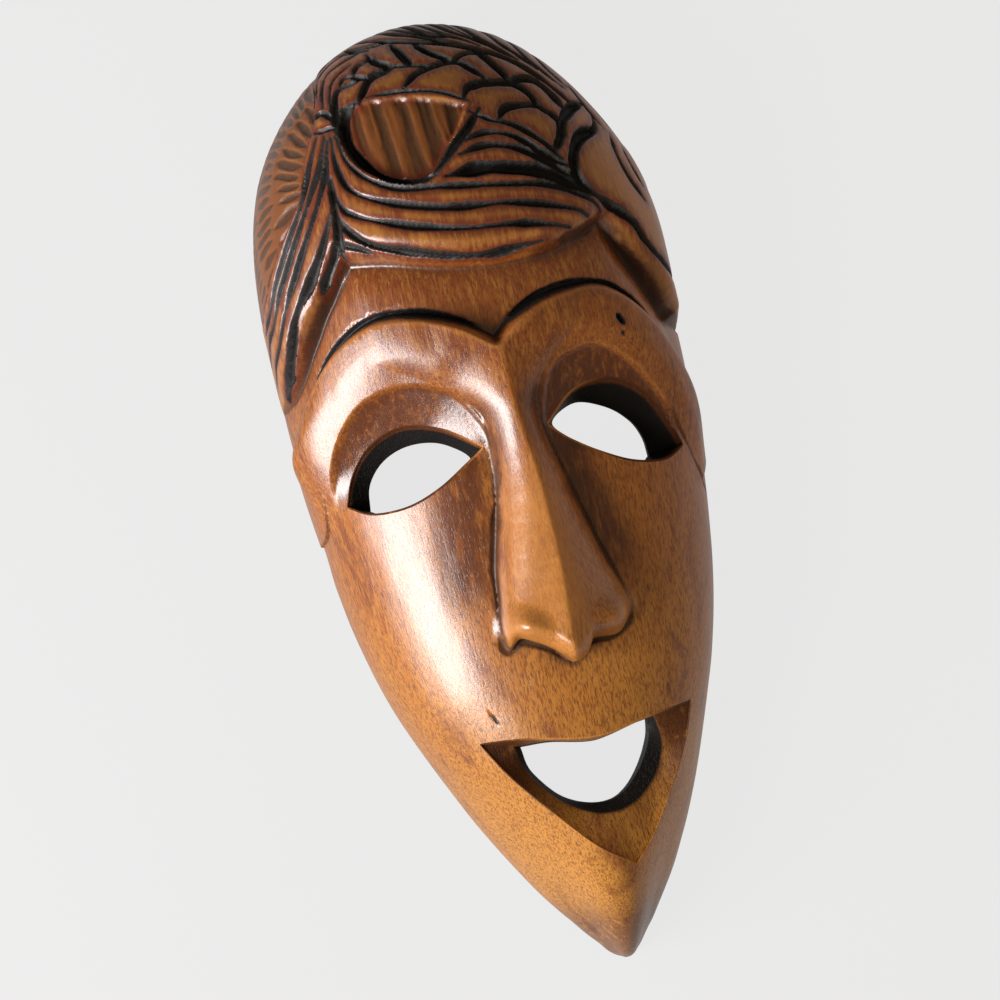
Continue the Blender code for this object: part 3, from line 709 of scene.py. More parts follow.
@dataclass(frozen=True)
class Fish:
    """The fish that curls over the crown: raised scales and fins on a sunken, tooled ground."""

    rise: float = 0.0048
    ground_depth: float = 0.0032
    curl_depth: float = 0.0042
    curl_lean: float = 0.72
    curl_lean_rows: Pair = (128.0, 24.0)
    ground_slopes: Pair = (2.2, 2.0)
    bead_rise: float = 0.0006
    bead: Pair = (97, 122)
    bead_size: Pair = (16.0, 13.0)
    pillow: float = 0.0004
    pillow_edge: float = 1.2
    body_step: Pair = (-1.5, 6.0)
    body_edge: Pair = (0.0, 3.0)
    stroke_depth: float = 0.00045
    band: float = 21.0
    spacing: float = 5.4
    valley: float = 0.0045
    valley_half: float = 9.0
    rim_fade: float = 0.95
    rim_shares: Pair = (0.6, 0.3)
    border: tuple[Places, ...] = (
        ((-150, 55), (-110, 55), (-92, 61), (-76, 74), (-62, 87.5), (-49, 99.5)),
        ((-49, 99.5), (-35, 96.5), (-15, 91), (5, 87.5), (25, 87.5), (42, 91), (55, 96)),
        ((55, 96), (63, 83.5), (76, 67.5), (86, 58), (95, 53), (150, 50)),
    )
    left_ground: Places = (
        (-45, 240), (-44, 200), (-44, 165), (-45.5, 152), (-52, 138.5), (-58, 127), (-69, 117),
        (-88, 101.5), (-104, 96), (-125, 94), (-160, 94), (-160, 240),
    )
    curl: Places = (
        (13.5, 143), (7.5, 135), (0.5, 128), (-6, 122), (-12, 120), (-19, 120.5), (-26, 124),
        (-31.5, 129.5), (-35, 137), (-35.5, 145), (-32, 151), (-26, 153.2), (-12, 151.2), (2, 147.3),
        (13.5, 143),
    )
    stroke_root: Pair = (-35.0, 128.0)
    leaf_half: Pair = (0.45, 0.53)
    leaf_depth: float = 3.0
    upright_share: float = 0.75
    upright_pitch: float = 0.74

    def over_border(self, form: MaskForm, sheet: Sheet) -> Array:
        """Measure from the fish's lower border.

        Args:
            form: The form that the sheet wraps; not used.
            sheet: Places on the mask.

        Returns:
            Millimetres above the border, below zero on the face.
        """
        border = np.vstack([smooth_line(run) for run in self.border])
        far, _ = sheet.reach(border, 400.0)
        return np.where(sheet.q > np.interp(sheet.p, border[:, 0], border[:, 1]), far, -far)

    def strokes(self, sheet: Sheet) -> Array:
        """Draw the tool strokes of the grounds: leaf cuts round the tail's root, upright ones in the curl.

        Args:
            sheet: Places on the mask.

        Returns:
            The stroke at each place, from -1 in its bottom to 1 on the ridge beside it.
        """
        across, along = sheet.p - self.stroke_root[0], sheet.q - self.stroke_root[1]
        radius = np.hypot(across, along)
        cell = radius / self.band + 0.22 * sheet.hills(7.0, 7.0, 21)
        ring = np.floor(cell) + 0.5
        turn = np.arctan2(along, -across) * np.round(ring * self.band / self.spacing * 2.0) / 2.0
        turn = turn + 0.25 * sheet.hills(10.0, 10.0, 20)
        middle = np.floor(turn) + 0.5
        size = 0.92 + 0.18 * wander(middle * 2.31, ring * 1.73, 22)
        wide, long = self.leaf_half
        beside, beyond = (turn - middle) / wide / size, (cell - ring) / long / size
        leaf = np.clip(1.0 - np.abs(beside) ** 1.3 - beyond**2, 0.0, 1.0) ** 0.8
        fan = 1.0 - self.leaf_depth * leaf
        swayed = Sheet(sheet.p + 0.5 * sheet.hills(9.0, 11.0, 23), sheet.q)
        upright = np.sin(swayed.p * self.upright_pitch + 1.1 * swayed.hills(9.0, 60.0, 24))
        upright = self.upright_share * upright
        upright = upright + 0.6 * swayed.hills(1.0, 16.0, 25) + 0.25 * swayed.hills(2.0, 3.0, 26)
        in_curl = ease(sheet.inside(smooth_line(self.curl)) / 2.0 + 0.5)
        return np.clip(fan * (1.0 - in_curl) + upright * in_curl, -1.0, 1.0)

    def height(self, form: MaskForm, sheet: Sheet, edge: Array) -> tuple[Array, ...]:
        """Raise the fish and sink its grounds.

        Args:
            form: The form that the sheet wraps.
            sheet: Places on the mask.
            edge: Distance inside a groove's edge, in millimetres.

        Returns:
            Heights in metres, how far each place is fish, how far it is ground, and the strokes in that.
        """
        above = self.over_border(form, sheet)
        rise = self.rise * climb(above, *self.body_step)
        rise = rise - self.valley * np.exp(np.minimum(above, 0.0) / self.valley_half) * (above < 0)
        rise = rise - self.valley * (1.0 - ease(above / self.valley_half)) * (above >= 0)
        left, curl = np.asarray(self.left_ground, float), smooth_line(self.curl)
        sunk = ease(sheet.inside(left) / self.ground_slopes[0] + 0.3)
        curled = ease(sheet.inside(curl) / self.ground_slopes[1] + 0.3)
        ground = np.maximum(sunk, curled)
        rise = rise - self.ground_depth * sunk
        start, span = self.curl_lean_rows
        level = 1.0 - self.curl_lean * np.clip((sheet.q - start) / span, 0.0, 1.0)
        rise = rise - self.curl_depth * (curled * level)
        (p, q), (wide, long) = self.bead, self.bead_size
        bead = 1.0 - np.hypot((sheet.p - p) / wide, (sheet.q - q) / long)
        rise = rise + self.bead_rise * ease(bead * 3.0)
        fish = climb(above, *self.body_edge)
        body = fish * (1.0 - ground)
        rise = rise + self.pillow * body * (1.0 - np.exp(np.minimum(edge, 0.0) / self.pillow_edge))
        stroke = self.strokes(sheet)
        rise = rise + self.stroke_depth * ground * stroke
        fade = 1.0 - self.rim_fade * climb(form.to_rim(sheet), *self.rim_shares)
        return rise * fade, fish, ground, stroke


@dataclass
class Relief:
    """Heights of the whole carving over the plain form, with the tints that go with it."""

    rise: Array
    tints: dict[Tint, Array]


@dataclass(frozen=True)
class Carving:
    """Face, fish and grooves together, with the soft facets that the tools leave on worn wood."""

    face: Face = Face()
    fish: Fish = Fish()
    grooves: Grooves = Grooves()
    facet_depth: float = 0.00010
    facet_size: Pair = (6.0, 17.0)
    chatter_depth: float = 0.00010
    chatter_size: Pair = (9.0, 1.9)
    chatter_shift: float = 4.0
    chatter_rows: tuple[Pair, Pair] = ((-55, 20.0), (30, -20.0))

    def relief(self, form: MaskForm, sheet: Sheet) -> Relief:
        """Carve the sheet.

        Args:
            form: The form that the sheet wraps.
            sheet: Places on the mask.

        Returns:
            The relief at each place.
        """
        depth, groove, crease = self.grooves.cut(form, sheet)
        raised, fish, ground, stroke = self.fish.height(form, sheet, groove)
        facets = self.facet_depth * sheet.hills(*self.facet_size, 31)
        on_nose = ease(1.0 - np.abs(sheet.p - self.face.bare_middle) / 20.0)
        for start, span in self.chatter_rows:
            on_nose = on_nose * climb(sheet.q, start, span)
        across, along = self.chatter_size
        chatter = wander(sheet.p / across + self.chatter_shift, sheet.q / along, 32)
        rise = self.face.height(sheet) + raised + facets + self.chatter_depth * on_nose * chatter - depth
        return Relief(rise, {
            Tint.GROOVE: groove, Tint.CREASE: crease, Tint.FISH: fish, Tint.GROUND: ground,
            Tint.STROKE: stroke, Tint.SHADE_AND_TONE: self.face.patina(sheet),
        })


@dataclass(frozen=True)
class Level:
    """One level of an opening: its depth below the face in metres, its corners and its outline."""

    depth: float
    corners: tuple[int, ...]
    outline: Places

    def ring(self, steps: int) -> Array:
        """Draw the closed outline, smooth between its corners.

        Args:
            steps: Short pieces between two places.

        Returns:
            The points of the ring.
        """
        count = len(self.outline)
        parts = []
        for start, end in zip(self.corners, self.corners[1:] + (self.corners[0] + count,)):
            run = tuple(self.outline[i % count] for i in range(start, end + 1))
            parts.append(smooth_line(run, steps)[:-1])
        return np.vstack(parts)


@dataclass(frozen=True)
class Opening:
    """A hole through the mask, as levels from the face down to the hollow."""

    name: str
    finish: Finish
    levels: tuple[Level, ...]
    edge_round: float = 0.9
    edge_turns: Row = (0.0, 30.0, 60.0, 90.0)
    wall_shares: Row = (0.25, 0.5, 0.75, 1.0)
    steps: int = 12
    past: float = 0.012

    def widened(self, ring: Array, by: float) -> Array:
        """Widen a closed ring by some millimetres."""
        area = np.sum(ring[:, 0] * np.roll(ring[:, 1], -1) - np.roll(ring[:, 0], -1) * ring[:, 1])
        return ring + square_to(ring, 1) * by * np.sign(area)

    def rings(self, form: MaskForm, surface: BVHTree) -> tuple[list[Array], list[float]]:
        """Place the rings of the cutter, with a rounded edge at the face.

        Args:
            form: The form that the sheet wraps.
            surface: The carved surface, which the first rings lie on.

        Returns:
            The rings from the top down, and the depth of each in metres.
        """
        first = self.levels[0].ring(self.steps)
        rings, depths = [], []
        for angle in self.edge_turns:
            turn = math.radians(angle)
            place = form.face_points(self.widened(first, self.edge_round * (1.0 - math.sin(turn))))
            for point in place:
                hit = surface.ray_cast(Vector((point[0], point[1], 1.0)), Vector((0, 0, -1)))[0]
                point[2] = hit.z if hit else point[2]
            if not rings:
                rings.append(place + np.array([0.0, 0.0, 2 * self.past]))
                depths.append(0.0)
            sink = self.edge_round * MM * (1.0 - math.cos(turn))
            rings.append(place - np.array([0.0, 0.0, sink]))
            depths.append(sink)
        above, depth_above = rings[-1], depths[-1]
        for level in self.levels[1:]:
            place = form.face_points(level.ring(self.steps))
            place[:, 2] -= level.depth
            for share in self.wall_shares:
                rings.append(above * (1.0 - share) + place * share)
                depths.append(depth_above * (1.0 - share) + level.depth * share)
            above, depth_above = place, level.depth
        rings.append(rings[-1] * np.array([1.0, 1.0, 0.0]) - np.array([0.0, 0.0, self.past]))
        depths.append(depths[-1] + self.past)
        return rings, depths


OPENINGS = (
    Opening("left eye", Finish.EYE_WALL, (
        Level(0.0, (0, 5), (
            (-72, 11), (-65, 22), (-54, 31.5), (-40, 35.5), (-26, 31), (-13, 21), (-20, 16.5), (-32, 9.5),
            (-45, 5.5), (-60, 6),
        )),
        Level(0.013, (0,), (
            (-60.5, 7), (-58, 17), (-50, 25), (-39, 28.5), (-27, 26.5), (-17.5, 18.5), (-22, 14), (-33, 8),
            (-45, 4), (-55, 4.5),
        )),
    )),
    Opening("right eye", Finish.EYE_WALL, (
        Level(0.0, (0, 5), (
            (71, 4.5), (64, 16), (54.5, 28.5), (41, 36), (26, 34.5), (13, 24), (20, 17), (30, 9.5), (43, 3),
            (58, 0.8),
        )),
        Level(0.013, (0,), (
            (53, 3), (52, 10.5), (47.5, 18.5), (38, 26), (26, 30), (16, 24.5), (22, 16.5), (31, 9), (42, 3),
            (49, 1.2),
        )),
    )),
    Opening("mouth", Finish.LIP, (
        Level(0.0, (0, 4, 8), (
            (-43.5, -92.5), (-25, -93.7), (4, -99), (29, -97), (53.5, -97), (50.5, -111), (41, -127),
            (26, -143), (10, -153.5), (-7, -142), (-23, -125), (-36, -107.5),
        )),
        Level(0.0075, (0, 4), (
            (-29.7, -96.5), (-15, -97), (4, -101), (22, -99), (33, -98.5), (38, -112), (34.5, -122),
            (23, -130), (8, -132.8), (-5, -130), (-19, -121), (-28.5, -107),
        )),
        Level(0.013, (0, 4), (
            (-26.5, -98), (-14, -98.5), (4, -102), (20, -100), (30.3, -99.5), (29.5, -108), (24, -117),
            (15.5, -124), (6, -127.3), (-6, -126), (-17, -120.5), (-25.5, -108.5),
        )),
    )),
)


def unit_normals(points: Array) -> Array:
    """Find the unit normal of each point of a grid."""
    normal = np.cross(np.gradient(points, axis=1), np.gradient(points, axis=0))
    return normal / np.maximum(np.linalg.norm(normal, axis=-1, keepdims=True), 1e-12)


def soften(values: Array, radius: int) -> Array:
    """Blur a grid twice with a square window.

    Args:
        values: The grid.
        radius: Half the window, in grid steps.

    Returns:
        The blurred grid.
    """
    for axis in (0, 1, 0, 1):
        pad = [(radius + 1, radius) if a == axis else (0, 0) for a in (0, 1)]
        total = np.cumsum(np.pad(values, pad, mode="edge"), axis=axis)
        ahead = np.take(total, range(2 * radius + 1, total.shape[axis]), axis=axis)
        behind = np.take(total, range(0, total.shape[axis] - 2 * radius - 1), axis=axis)
        values = (ahead - behind) / (2 * radius + 1)
    return values


def square_to(ring: Array, reach: int) -> Array:
    """Find the directions square to a closed ring.

    Args:
        ring: Its points.
        reach: How many points away on both sides each direction is judged from.

    Returns:
        Unit directions in plan, one row each.
    """
    along = np.roll(ring, -reach, axis=0) - np.roll(ring, reach, axis=0)
    side = np.column_stack([along[:, 1], -along[:, 0]])
    return side / np.maximum(np.hypot(*side.T)[:, None], 1e-9)


def read(items: bpy.types.bpy_prop_collection, name: str, width: int = 1, kind: type = np.int32) -> Array:
    """Read one property of all items of a mesh.

    Args:
        items: The items, such as its vertices.
        name: The property.
        width: Numbers in each item's value.
        kind: The type of the numbers.

    Returns:
        The values, one row each where they are wider than 1.
    """
    values = np.empty(width * len(items), kind)
    items.foreach_get(name, values)
    return values.reshape(-1, width) if width > 1 else values


def add(name: str, data: bpy.types.ID) -> bpy.types.Object:
    """Put an object with some data into the scene.

    Args:
        name: The object's name.
        data: Its mesh, light or camera.

    Returns:
        The object.
    """
    made = bpy.data.objects.new(name, data)
    bpy.context.scene.collection.objects.link(made)
    return made


def add_solid(name: str, points: list[Array], faces: list[list[int]], kinds: list[int]) -> bpy.types.Object:
    """Put a mesh into the scene.

    Args:
        name: Its name.
        points: Runs of its points.
        faces: Corner numbers of its faces.
        kinds: The finish of each face.

    Returns:
        The object.
    """
    mesh = bpy.data.meshes.new(name)
    mesh.from_pydata(np.vstack(points), [], faces)
    mesh.polygons.foreach_set("material_index", np.array(kinds, np.int32))
    return add(name, mesh)


@dataclass
class Layer:
    """One grid of points as mesh faces, closed on itself at the chin and met in a point at the crown."""

    points: Array
    inward: bool
    start: int = 0

    @property
    def index(self) -> Array:
        """Number the grid's points.

        Returns:
            The vertex number of each grid point, where joined points share one.
        """
        rows, columns = self.points.shape[:2]
        index = np.arange(rows * columns).reshape(rows, columns)
        middle = columns // 2
        index[0, middle + 1:] = index[0, :middle][::-1]
        index[-1, :] = index[-1, 0]
        return index + self.start

    def faces(self) -> list[list[int]]:
        """List the faces.

        Returns:
            Corner numbers of each quad, and of the triangles at both ends.
        """
        i = self.index
        quads = np.stack([i[:-1, :-1], i[:-1, 1:], i[1:, 1:], i[1:, :-1]], -1).reshape(-1, 4)
        if self.inward:
            quads = quads[:, ::-1]
        per_row = i.shape[1] - 1
        ends = np.concatenate([quads[:per_row], quads[-per_row:]]).tolist()
        kept = [[v for k, v in enumerate(ring) if v != ring[k - 1]] for ring in ends]
        return quads[per_row:-per_row].tolist() + [ring for ring in kept if len(ring) > 2]

    def border(self) -> Array:
        """The vertex numbers round the rim, up the left side and down the right."""
        i = self.index
        return np.concatenate([i[:, 0], i[-2:0:-1, -1]])


@dataclass
class CarvedMask:
    """The one carved piece: its face, its hollow, its openings and the rim that it lies on."""

    form: MaskForm = MaskForm()
    carving: Carving = Carving()
    grid_step: float = 0.62
    quick_step: float = 1.15
    hollow_ratio: int = 4
    crowded: float = 15.4
    crowding: float = 2.3
    faces_wanted: int = 172000
    rim_round: float = 0.0012
    scoop_depth: float = 0.0006
    wear_and_shading_reach: float = 1.6
    scoop_fade: float = 0.08
    sharp_angle: float = 42.0
    normal_match: float = 0.6
    cut_edges: Triple = (0.20, -0.3, 0.6)
    nail_flat: Triple = (0.0098, 0.009, 0.19088)
    shift: Array = field(init=False)
    face_points: Array = field(init=False)
    face_normals: Array = field(init=False)
    face_tints: dict[Tint, Array] = field(init=False)
    surface: BVHTree = field(init=False)

    def rows(self) -> Array:
        """Space the rows of the sheet.

        Returns:
            The q of each, from the chin to the top, where they crowd so that the rim stays round.
        """
        step = self.grid_step
        top = self.form.crown_q + self.form.crown_girth
        count = int((top - self.form.chin_q) / step / self.hollow_ratio) * self.hollow_ratio
        rows = np.linspace(self.form.chin_q, top, count + 1)
        left = np.minimum((top - rows) / self.crowded, 1.0)
        return np.where(left < 1.0, top - self.crowded * left**self.crowding, rows)

    def sheet(self, rows: Array, columns: int) -> Sheet:
        """Lay out a grid of places with some steps across the sheet."""
        share = np.linspace(-1.0, 1.0, columns + 1)
        return Sheet(self.form.girth(rows)[:, None] * share, np.repeat(rows[:, None], columns + 1, axis=1))

    def rim_rings(self, border: Array, inset: float) -> list[Array]:
        """Round the edge of the rim.

        Args:
            border: Points round the edge, at the height where the rounding starts.
            inset: 1 to run inward, -1 to run outward.

        Returns:
            Two more rings of points, the last one on the plane of the rim.
        """
        side = square_to(border, 3)
        rings = []
        for across, up in ((0.3, 0.3), (1.0, 0.0)):
            ring = border.copy()
            ring[:, :2] += side * self.rim_round * across * inset
            ring[:, 2] = self.rim_round * up
            rings.append(ring)
        return rings

    def lift_rim(self, points: Array) -> Array:
        """Lift the lowest points so that the rim's rounding has room.

        Args:
            points: Points of a layer.

        Returns:
            The points with their lowest part lifted by the rounding.
        """
        z = np.maximum(points[..., 2], 0.0)
        points[..., 2] = z + self.rim_round * np.exp(-z / (2 * self.rim_round))
        return points

    def build_hollow(self, rows: Array, columns: int) -> Array:
        """Shape the hollow, with shallow scoops of the gouge and a flat for a nail.

        Args:
            rows: The q of each row.
            columns: Steps across the sheet.

        Returns:
            Its grid of points.
        """
        sheet = self.sheet(rows, columns)
        inner = self.form.points(sheet, self.form.hollow)
        scoops = np.abs(sheet.hills(8.0, 19.0, 41)) + 0.4 * np.abs(sheet.hills(5.0, 13.0, 42))
        fade = ease((1.0 - self.form.to_rim(sheet)) / self.scoop_fade)
        inner = inner - unit_normals(inner) * (self.scoop_depth * scoops * fade)[..., None]
        inner = self.lift_rim(inner)
        half_wide, high, wall_y = self.nail_flat
        flat = (np.abs(inner[..., 0]) <= half_wide) & (inner[..., 2] <= high)
        flat &= inner[..., 1] > 0.5 * wall_y
        inner[..., 1] = np.where(flat, wall_y, inner[..., 1])
        return inner

    def build_body(self) -> bpy.types.Object:
        """Make the carved body without its openings.

        Returns:
            The body as an object of the scene.
        """
        rows = self.rows()
        columns = int(2 * self.form.side_girth / (rows[1] - rows[0]) / 8) * 8
        sheet = self.sheet(rows, columns)
        relief = self.carving.relief(self.form, sheet)
        plain = self.form.points(sheet, self.form.outer)
        face = plain + unit_normals(plain) * relief.rise[..., None]
        face[0] = plain[0]
        face = self.lift_rim(face)
        low, high = plain.reshape(-1, 3).min(axis=0), plain.reshape(-1, 3).max(axis=0)
        self.shift = np.append(-(low + high)[:2] / 2, 0.0)
        outside = Layer(face, inward=False)
        self.record_face(outside, relief, rows[1] - rows[0])
        inner = self.build_hollow(rows[:: self.hollow_ratio], columns // self.hollow_ratio)
        inside = Layer(inner, inward=True, start=face[..., 0].size)

        points = [face.reshape(-1, 3), inner.reshape(-1, 3)]
        faces, kinds, loops = [], [], []
        for layer, finish in ((outside, Finish.FACE), (inside, Finish.HOLLOW)):
            faces += layer.faces()
            kinds += [finish.value] * (len(faces) - len(kinds))
        total = len(points[0]) + len(points[1])
        for layer, inset in ((outside, 1.0), (inside, -1.0)):
            before = layer.border()
            for ring in self.rim_rings(layer.points.reshape(-1, 3)[before - layer.start], inset):
                here = np.arange(total, total + len(ring))
                points.append(ring)
                total += len(ring)
                pairs = zip(before, np.roll(before, -1), np.roll(here, -1), here)
                strip = [[int(v) for v in quad] for quad in pairs]
                faces += [quad[::-1] if layer.inward else quad for quad in strip]
                before = here
            loops.append(before)
        kinds += [Finish.FACE.value] * (len(faces) - len(kinds))
        outer, inner = loops
        for i, here in enumerate(inner):
            run = [outer[(i * self.hollow_ratio + k) % len(outer)] for k in range(self.hollow_ratio + 1)]
            faces.append([int(v) for v in run + [inner[(i + 1) % len(inner)], here]])
        kinds += [Finish.HOLLOW.value] * (len(faces) - len(kinds))
        return add_solid("carved_wood_mask", points, faces, kinds)

    def record_face(self, outside: Layer, relief: Relief, step: float) -> None:
        """Keep the carved surface, its normals and its tints for the finished mesh.

        Args:
            outside: The carved surface.
            relief: The relief that shaped it.
            step: Distance between two rows, in millimetres.
        """
        # How far each place stands above or sinks below its surroundings: the finish paints raised places
        # paler, partly as worn wood and partly as a painted highlight, and sunk places darker as painted
        # shade.
        wear = relief.rise - soften(relief.rise, max(1, round(self.wear_and_shading_reach / step)))
        tints = relief.tints | {Tint.WEAR_AND_SHADING: np.clip(wear / (0.5 * MM), -2.0, 2.0)}
        self.face_points = outside.points.reshape(-1, 3)
        self.face_normals = unit_normals(outside.points).reshape(-1, 3)
        self.face_tints = {tint: values.ravel() for tint, values in tints.items()}
        self.surface = BVHTree.FromPolygons(self.face_points.tolist(), outside.faces())

    def cutters(self) -> tuple[bpy.types.Object, Array, Array]:
        """Make the tools that cut the openings.

        Returns:
            One object with all of them, and the points and depths of their rings.
        """
        points, faces, kinds, depths, total = [], [], [], [], 0
        for opening in OPENINGS:
            rings, levels = opening.rings(self.form, self.surface)
            count = len(rings[0])
            for top in range(total, total + count * (len(rings) - 1), count):
                for i in range(count):
                    j = (i + 1) % count
                    a, b, c, d = top + i, top + j, top + count + j, top + count + i
                    faces += [[a, b, c], [a, c, d]]
            faces.append([total + i for i in range(count)][::-1])
            faces.append([total + (len(rings) - 1) * count + i for i in range(count)])
            kinds += [opening.finish.value] * (len(faces) - len(kinds))
            points += rings
            depths += [np.full(count, level) for level in levels]
            total += count * len(rings)
            LOG.info("%s: %.1f mm deep", opening.name, (levels[-1] - opening.past) / MM)
        tools = add_solid("opening cutters", points, faces, kinds)
        bpy.context.view_layer.objects.active = tools
        tools.select_set(True)
        bpy.ops.object.mode_set(mode="EDIT")
        bpy.ops.mesh.select_all(action="SELECT")
        bpy.ops.mesh.normals_make_consistent(inside=False)
        bpy.ops.object.mode_set(mode="OBJECT")
        tools.select_set(False)
        return tools, np.vstack(points), np.concatenate(depths)

    def build(self, finishes: list[bpy.types.Material]) -> bpy.types.Object:
        """Make the whole mask.

        Args:
            finishes: The materials, in the order of Finish.

        Returns:
            The finished piece.
        """
        body = self.build_body()
        tools, ring_points, ring_depths = self.cutters()
        for finish in finishes:
            body.data.materials.append(finish)
            tools.data.materials.append(finish)
        sides = sum(len(face.vertices) - 2 for face in body.data.polygons)
        thin = body.modifiers.new("fewer faces", "DECIMATE")
        thin.ratio = min(1.0, self.faces_wanted / sides)
        hole = body.modifiers.new("openings", "BOOLEAN")
        hole.operation = "DIFFERENCE"
        hole.solver = "EXACT"
        hole.object = tools
        depsgraph = bpy.context.evaluated_depsgraph_get()
        mesh = bpy.data.meshes.new_from_object(body.evaluated_get(depsgraph))
        body.modifiers.clear()
        body.data = mesh
        bpy.data.objects.remove(tools)
        self.centre(mesh)
        self.dress(mesh, ring_points, ring_depths)
        return body

    def centre(self, mesh: bpy.types.Mesh) -> None:
        """Put the middle of the mask's plan over the origin, as the frame has it."""
        co = read(mesh.vertices, "co", 3, np.float32) + self.shift
        mesh.vertices.foreach_set("co", co.astype(np.float32).ravel())

    def dress(self, mesh: bpy.types.Mesh, ring_points: Array, ring_depths: Array) -> None:
        """Give the mesh its tints, the carved surface's smooth normals and the duller finish in its cuts.

        Args:
            mesh: The finished mesh.
            ring_points: Points on the walls of the openings.
            ring_depths: Their depths below the face, in metres.
        """
        co = read(mesh.vertices, "co", 3, np.float32) - self.shift
        kinds = read(mesh.polygons, "material_index")
        corner = read(mesh.loops, "vertex_index")
        corner_kind = np.repeat(kinds, read(mesh.polygons, "loop_total"))

        nearest = self.nearest(self.face_points, co, corner[corner_kind == Finish.FACE.value])
        tints = {}
        for tint, values in self.face_tints.items():
            rest = UNCUT if tint in (Tint.GROOVE, Tint.CREASE) else 0.0
            tints[tint] = np.where(nearest >= 0, values[nearest], rest)
        on_wall = self.nearest(ring_points, co, corner[corner_kind > Finish.HOLLOW.value])
        tints[Tint.RECESS] = np.where(on_wall >= 0, ring_depths[on_wall] / MM, 0.0)
        for tint, values in tints.items():
            attribute = mesh.attributes.new(tint.value, "FLOAT", "POINT")
            attribute.data.foreach_set("value", values.astype(np.float32))

        mesh.shade_smooth()
        mesh.set_sharp_from_angle(angle=math.radians(self.sharp_angle))
        normals = read(mesh.corner_normals, "vector", 3, np.float32)
        true = self.face_normals[nearest[corner]]
        use = (corner_kind == Finish.FACE.value) & (nearest[corner] >= 0)
        use &= np.einsum("ij,ij->i", normals, true) > self.normal_match
        use &= co[corner][:, 2] > 3 * self.rim_round
        normals[use] = true[use]
        mesh.normals_split_custom_set(normals.tolist())

        depth = np.full(len(co), UNCUT)
        for tint, edge in zip((Tint.GROOVE, Tint.CREASE, Tint.GROUND), self.cut_edges):
            depth = np.maximum(depth, np.where(nearest >= 0, tints[tint] - edge, UNCUT))
        shallowest = np.minimum.reduceat(depth[corner], read(mesh.polygons, "loop_start"))
        kinds[(kinds == Finish.FACE.value) & (shallowest > 0.0)] = Finish.CUT.value
        mesh.polygons.foreach_set("material_index", kinds)

    def nearest(self, points: Array, co: Array, which: Array) -> Array:
        """Find the nearest known point of some vertices.

        Args:
            points: The known points.
            co: Places of all vertices.
            which: Numbers of the vertices to look up.

        Returns:
            The number of the known point for each vertex, or -1 where it wasn't looked up.
        """
        tree = KDTree(len(points))
        for i, point in enumerate(points.tolist()):
            tree.insert(point, i)
        tree.balance()
        found = np.full(len(co), -1)
        for vertex in np.unique(which):
            found[vertex] = tree.find(co[vertex].tolist())[1]
        return found


def paint(code: str) -> tuple[float, float, float, float]:
    """Turn a screen colour into the shader's linear colour.

    Args:
        code: The colour as #rrggbb.

    Returns:
        Red, green, blue and full opacity.
    """
    parts = [int(code[i:i + 2], 16) / 255 for i in (1, 3, 5)]
    line = [v / 12.92 if v <= 0.04045 else ((v + 0.055) / 1.055) ** 2.4 for v in parts]
    return (*line, 1.0)


